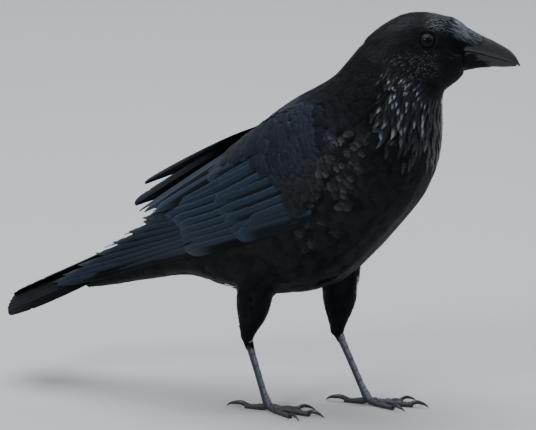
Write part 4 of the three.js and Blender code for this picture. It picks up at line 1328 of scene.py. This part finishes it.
def make_eye(side, name):
    low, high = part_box(f"eye_{name}")
    centre = to_layout((np.array(low) + np.array(high)) / 2)
    outward = unit(turned((0.16, side, 0.05), 0))
    aside = unit(np.cross((0, 0, 1), outward)) * side
    upward = np.cross(outward, aside) * side
    upward = upward if upward[2] > 0 else -upward

    def at(polar, around, r):
        flat = np.cos(around)[..., None] * aside + np.sin(around)[..., None] * upward
        return centre + r[..., None] * (np.cos(polar)[..., None] * outward + np.sin(polar)[..., None] * flat)

    from_axis = np.linspace(0.02, math.pi * 0.8, BALL_ROWS)
    polar, around = np.meshgrid(from_axis, round_steps(BALL_SIDES), indexing="ij")
    cornea = 1 + 0.045 * np.exp(-(polar / 0.5) ** 2)
    closed_piece(f"eyeball_{name}", f"eye_{name}", at(polar, around, EYE_RADIUS * cornea), EYEBALL, "eye",
                 flip=side < 0, outward=np.concatenate([np.cos(polar).ravel(), [1, -1]]))

    # the lids: a rim on the eyeball that rounds over and runs back on it, under the feathers
    turn = round_steps(LID_SIDES)
    high_up = np.maximum(0, np.sin(turn))
    opening = np.radians(27.5 + 10.5 * np.cos(turn) ** 2 - 2.5 * high_up)
    rings = []
    for widen, rise in LID_PROFILE:
        crease = 0.07 * np.sin(turn * 31 + widen) * (2 < widen < 30)
        heavy = 1 + 0.35 * high_up if rise > 0 else 1
        rings.append(at(opening + math.radians(widen), turn, EYE_RADIUS + rise * heavy + crease))
    faces = grid_quads(len(LID_PROFILE), LID_SIDES, closed=True)[:, ::-side]  # turned over on the left
    new_object(f"eyelids_{name}", place(np.concatenate(rings)), faces, LID)


make_eye(RIGHT, "right")
make_eye(LEFT, "left")

# ---------------------------------------------------------------- legs and feet

FOOT_SPREAD, TOE_JOINT_HEIGHT = 45, 6
# Each leg's side, foot, heel and turn in degrees.
LEGS = {"right": (RIGHT, (-31.5, -FOOT_SPREAD / 2), (-47.5, -25, 61), -4),
        "left": (LEFT, (36.5, FOOT_SPREAD / 2), (11, 24, 59), 6)}
# Each toe's turn outwards in degrees, length, claw length, radius, joints and claw radius.
TOES = {"hind": (176, 19, 16, 2.7, 1, 1.9), "inner": (-24, 26, 12, 2.5, 2, 1.5),
        "middle": (2, 37, 13, 2.8, 3, 1.7), "outer": (27, 29, 11, 2.4, 4, 1.4)}
TARSUS_STOPS = (-0.16, 0.0, 0.08, 0.2, 0.55, 0.85, 0.97, 1.04)
TARSUS_RADII = ((4.0, 3.6), (3.9, 3.4), (3.7, 3.2), (3, 2.5), (2.7, 2.2), (2.8, 2.5), (3.4, 3.5), (3, 3.4))


def tube(points, radii, rows, sides, shape, floor=0.0):
    """Rings along a smooth line, flat under at the floor's height; shape(share, angle) scales the radius,
    with angle 0 at the front or top."""
    line = smooth_curve(points, rows)
    size = smooth_curve(radii, rows)
    along = unit(np.gradient(line, axis=0))
    across = np.tile((0.0, 1.0, 0.0), (rows, 1))
    flat = np.abs(along[:, 2]) < 0.7
    across[flat] = np.cross((0, 0, 1), along[flat])
    across = square_to(across, along)
    angle = round_steps(sides)
    scale = shape(np.linspace(0, 1, rows)[:, None], angle[None])
    out = (np.cross(along, across)[:, None] * (size[:, :1] * np.cos(angle))[..., None]
           + across[:, None] * (size[:, 1:] * np.sin(angle))[..., None])
    rings = line[:, None] + out * scale[..., None]
    rings[..., 2] = np.maximum(rings[..., 2], floor)
    return rings


def from_front(angle):
    """How far angles round a tube are from its front."""
    return np.abs((angle + math.pi) % (2 * math.pi) - math.pi)


def scutes(count, height, spread):
    """Plates down the front or along the top, each thickest at its lower or outer edge."""
    def shape(share, angle):
        turn = from_front(angle)
        front = 1 - ramp(turn, spread, spread + 0.35)
        phase = (share * count) % 1
        plate = ramp(phase, 0.0, 0.75) * (1 - ramp(phase, 0.90, 1.0))
        back = 0.35 * np.sin(share * count * 4 * math.pi + angle * 3) * (1 - front)
        groove = np.exp(-((turn - spread - 0.2) / 0.13) ** 2)
        return 1 + height * (plate * front + 0.25 * back - 0.7 * groove)
    return shape


TARSUS_SCUTES = 15
FRONT_TURN = 0.4  # radians that the painted highlight on the plates stands to the right of the front
TARSUS_MESH, CLAW_MESH, TOE_SIDES = (190, 28), (40, 18), 22  # rows and sides


def scute_values(rows, sides, count, shine):
    """Front and join values for a leg's tube: a painted highlight on the plates down its front, dark joins
    between them.
    """
    share, angle = np.meshgrid(np.linspace(0, 1, rows), round_steps(sides), indexing="ij")
    turn = from_front(angle + FRONT_TURN)
    phase = (share * count) % 1
    join = (1 - ramp(turn, 1.25, 1.6)) * (ramp(phase, 0.86, 0.93) + (1 - ramp(phase, 0.0, 0.06)))
    values = {"front": shine * (1 - ramp(turn, 0.45, 1.15)), "join": 0.8 * np.clip(join, 0, 1)}
    return {key: np.concatenate([value.ravel(), [0, 0]]) for key, value in values.items()}


def make_toe(name, toe, base, angle, length, claw, radius, joints, claw_radius):
    """A toe and its claw, from its base on the ground outwards."""
    def on_toe(distance, height):
        return base[0] + distance * math.cos(angle), base[1] + distance * math.sin(angle), height

    points, radii = [], []
    for i in range(joints * 2 + 2):
        t = i / (joints * 2 + 1)
        r = radius * (0.90 if i % 2 == 0 else 1.04) * (1 - 0.18 * t)
        points.append(on_toe(1.0 + (length - 1.0) * t, r * 0.87 - 0.30 + max(0, 1 - t * 3) * 1.6))
        radii.append((r, r))
    rows, count = 26 + joints * 22, 3 + joints * 3
    closed_piece(f"toe_{name}_{toe}_scaled", f"toe_{name}_{toe}",
                 tube(points, radii, rows, TOE_SIDES, scutes(count, 0.10, 1.2)), LEG, "leg_skin",
                 **scute_values(rows, TOE_SIDES, count, 0.22))
    heights = (radius - 0.6, radius + 1.2, radius + 0.9, claw_radius * 1.1 + 0.5, 0.45)
    points = [on_toe(length + t * claw, h) for t, h in zip((-0.16, 0.2, 0.5, 0.8, 1), heights)]
    radii = [(claw_radius * a, claw_radius * a * 0.78) for a in (1, 1.02, 0.85, 0.52, 0.14)]
    rings = tube(points, radii, *CLAW_MESH, lambda t, a: 1 + 0.10 * np.cos(a) * np.ones_like(t), floor=0.02)
    closed_piece(f"claw_{name}_{toe}_horn", f"claw_{name}_{toe}", rings, CLAW, "claw")


def make_leg(name, side, foot, heel, turn):
    stops = [(heel[0] + (foot[0] - heel[0]) * t + max(0, t - 0.9) * 8, heel[1] + (foot[1] - heel[1]) * t,
              heel[2] + (TOE_JOINT_HEIGHT - heel[2]) * t) for t in TARSUS_STOPS]
    closed_piece(f"tarsus_{name}_scaled", f"tarsus_{name}",
                 tube(stops, TARSUS_RADII, *TARSUS_MESH, scutes(TARSUS_SCUTES, 0.085, 1.25)), LEG, "leg_skin",
                 **scute_values(*TARSUS_MESH, TARSUS_SCUTES, 0.9))
    for toe, (outwards, *sizes) in TOES.items():
        make_toe(name, toe, (foot[0] + 1, foot[1]), math.radians(side * outwards + turn), *sizes)


for name_, leg_ in LEGS.items():
    make_leg(name_, *leg_)

# ---------------------------------------------------------------- floor and light


FLOOR_HALF = 14.0  # metres


def make_floor():
    corners = [(x * FLOOR_HALF, y * FLOOR_HALF, 0) for x, y in ((-1, -1), (1, -1), (1, 1), (-1, 1))]
    mesh = new_mesh("floor", corners, [(0, 1, 2, 3)])
    n = Nodes("floor_paper")
    n.set(Base_Color=n.mix(n.noise(3, 2), (0.50, 0.50, 0.49), (0.53, 0.53, 0.52)), Roughness=0.9)
    mesh.materials.append(n.material)
    floor = bpy.data.objects.new("floor", mesh)
    bpy.context.scene.collection.objects.link(floor)


# Each light's place, size in metres, watts and colour. All of them point at LIGHT_AIM.
LIGHTS = {"sky": ((-0.5, 0.2, 2.6), 2.2, 74, (0.86, 0.93, 1.0)),
          "key": ((-1.0, -2.3, 1.9), 0.9, 34, (1.0, 0.97, 0.92)),
          "rim": ((1.6, 1.2, 1.6), 0.8, 16, (0.86, 0.93, 1.0))}
LIGHT_AIM = (0, 0, 0.2)
SKY_COLOUR, SKY_STRENGTH = (0.80, 0.86, 0.95, 1), 0.55


def make_light(name, at, size, watts, colour):
    data = bpy.data.lights.new(name, "AREA")
    data.shape = "DISK"
    data.size = size
    data.energy = watts
    data.color = colour
    light = bpy.data.objects.new(name, data)
    light.location = at
    light.rotation_euler = (Vector(at) - Vector(LIGHT_AIM)).to_track_quat("Z", "Y").to_euler()
    bpy.context.scene.collection.objects.link(light)


def make_stage():
    make_floor()
    for name, light in LIGHTS.items():
        make_light(name, *light)
    world = bpy.data.worlds.new("studio")
    world.use_nodes = True
    background = world.node_tree.nodes["Background"].inputs
    background["Color"].default_value = SKY_COLOUR
    background["Strength"].default_value = SKY_STRENGTH
    bpy.context.scene.world = world


make_stage()
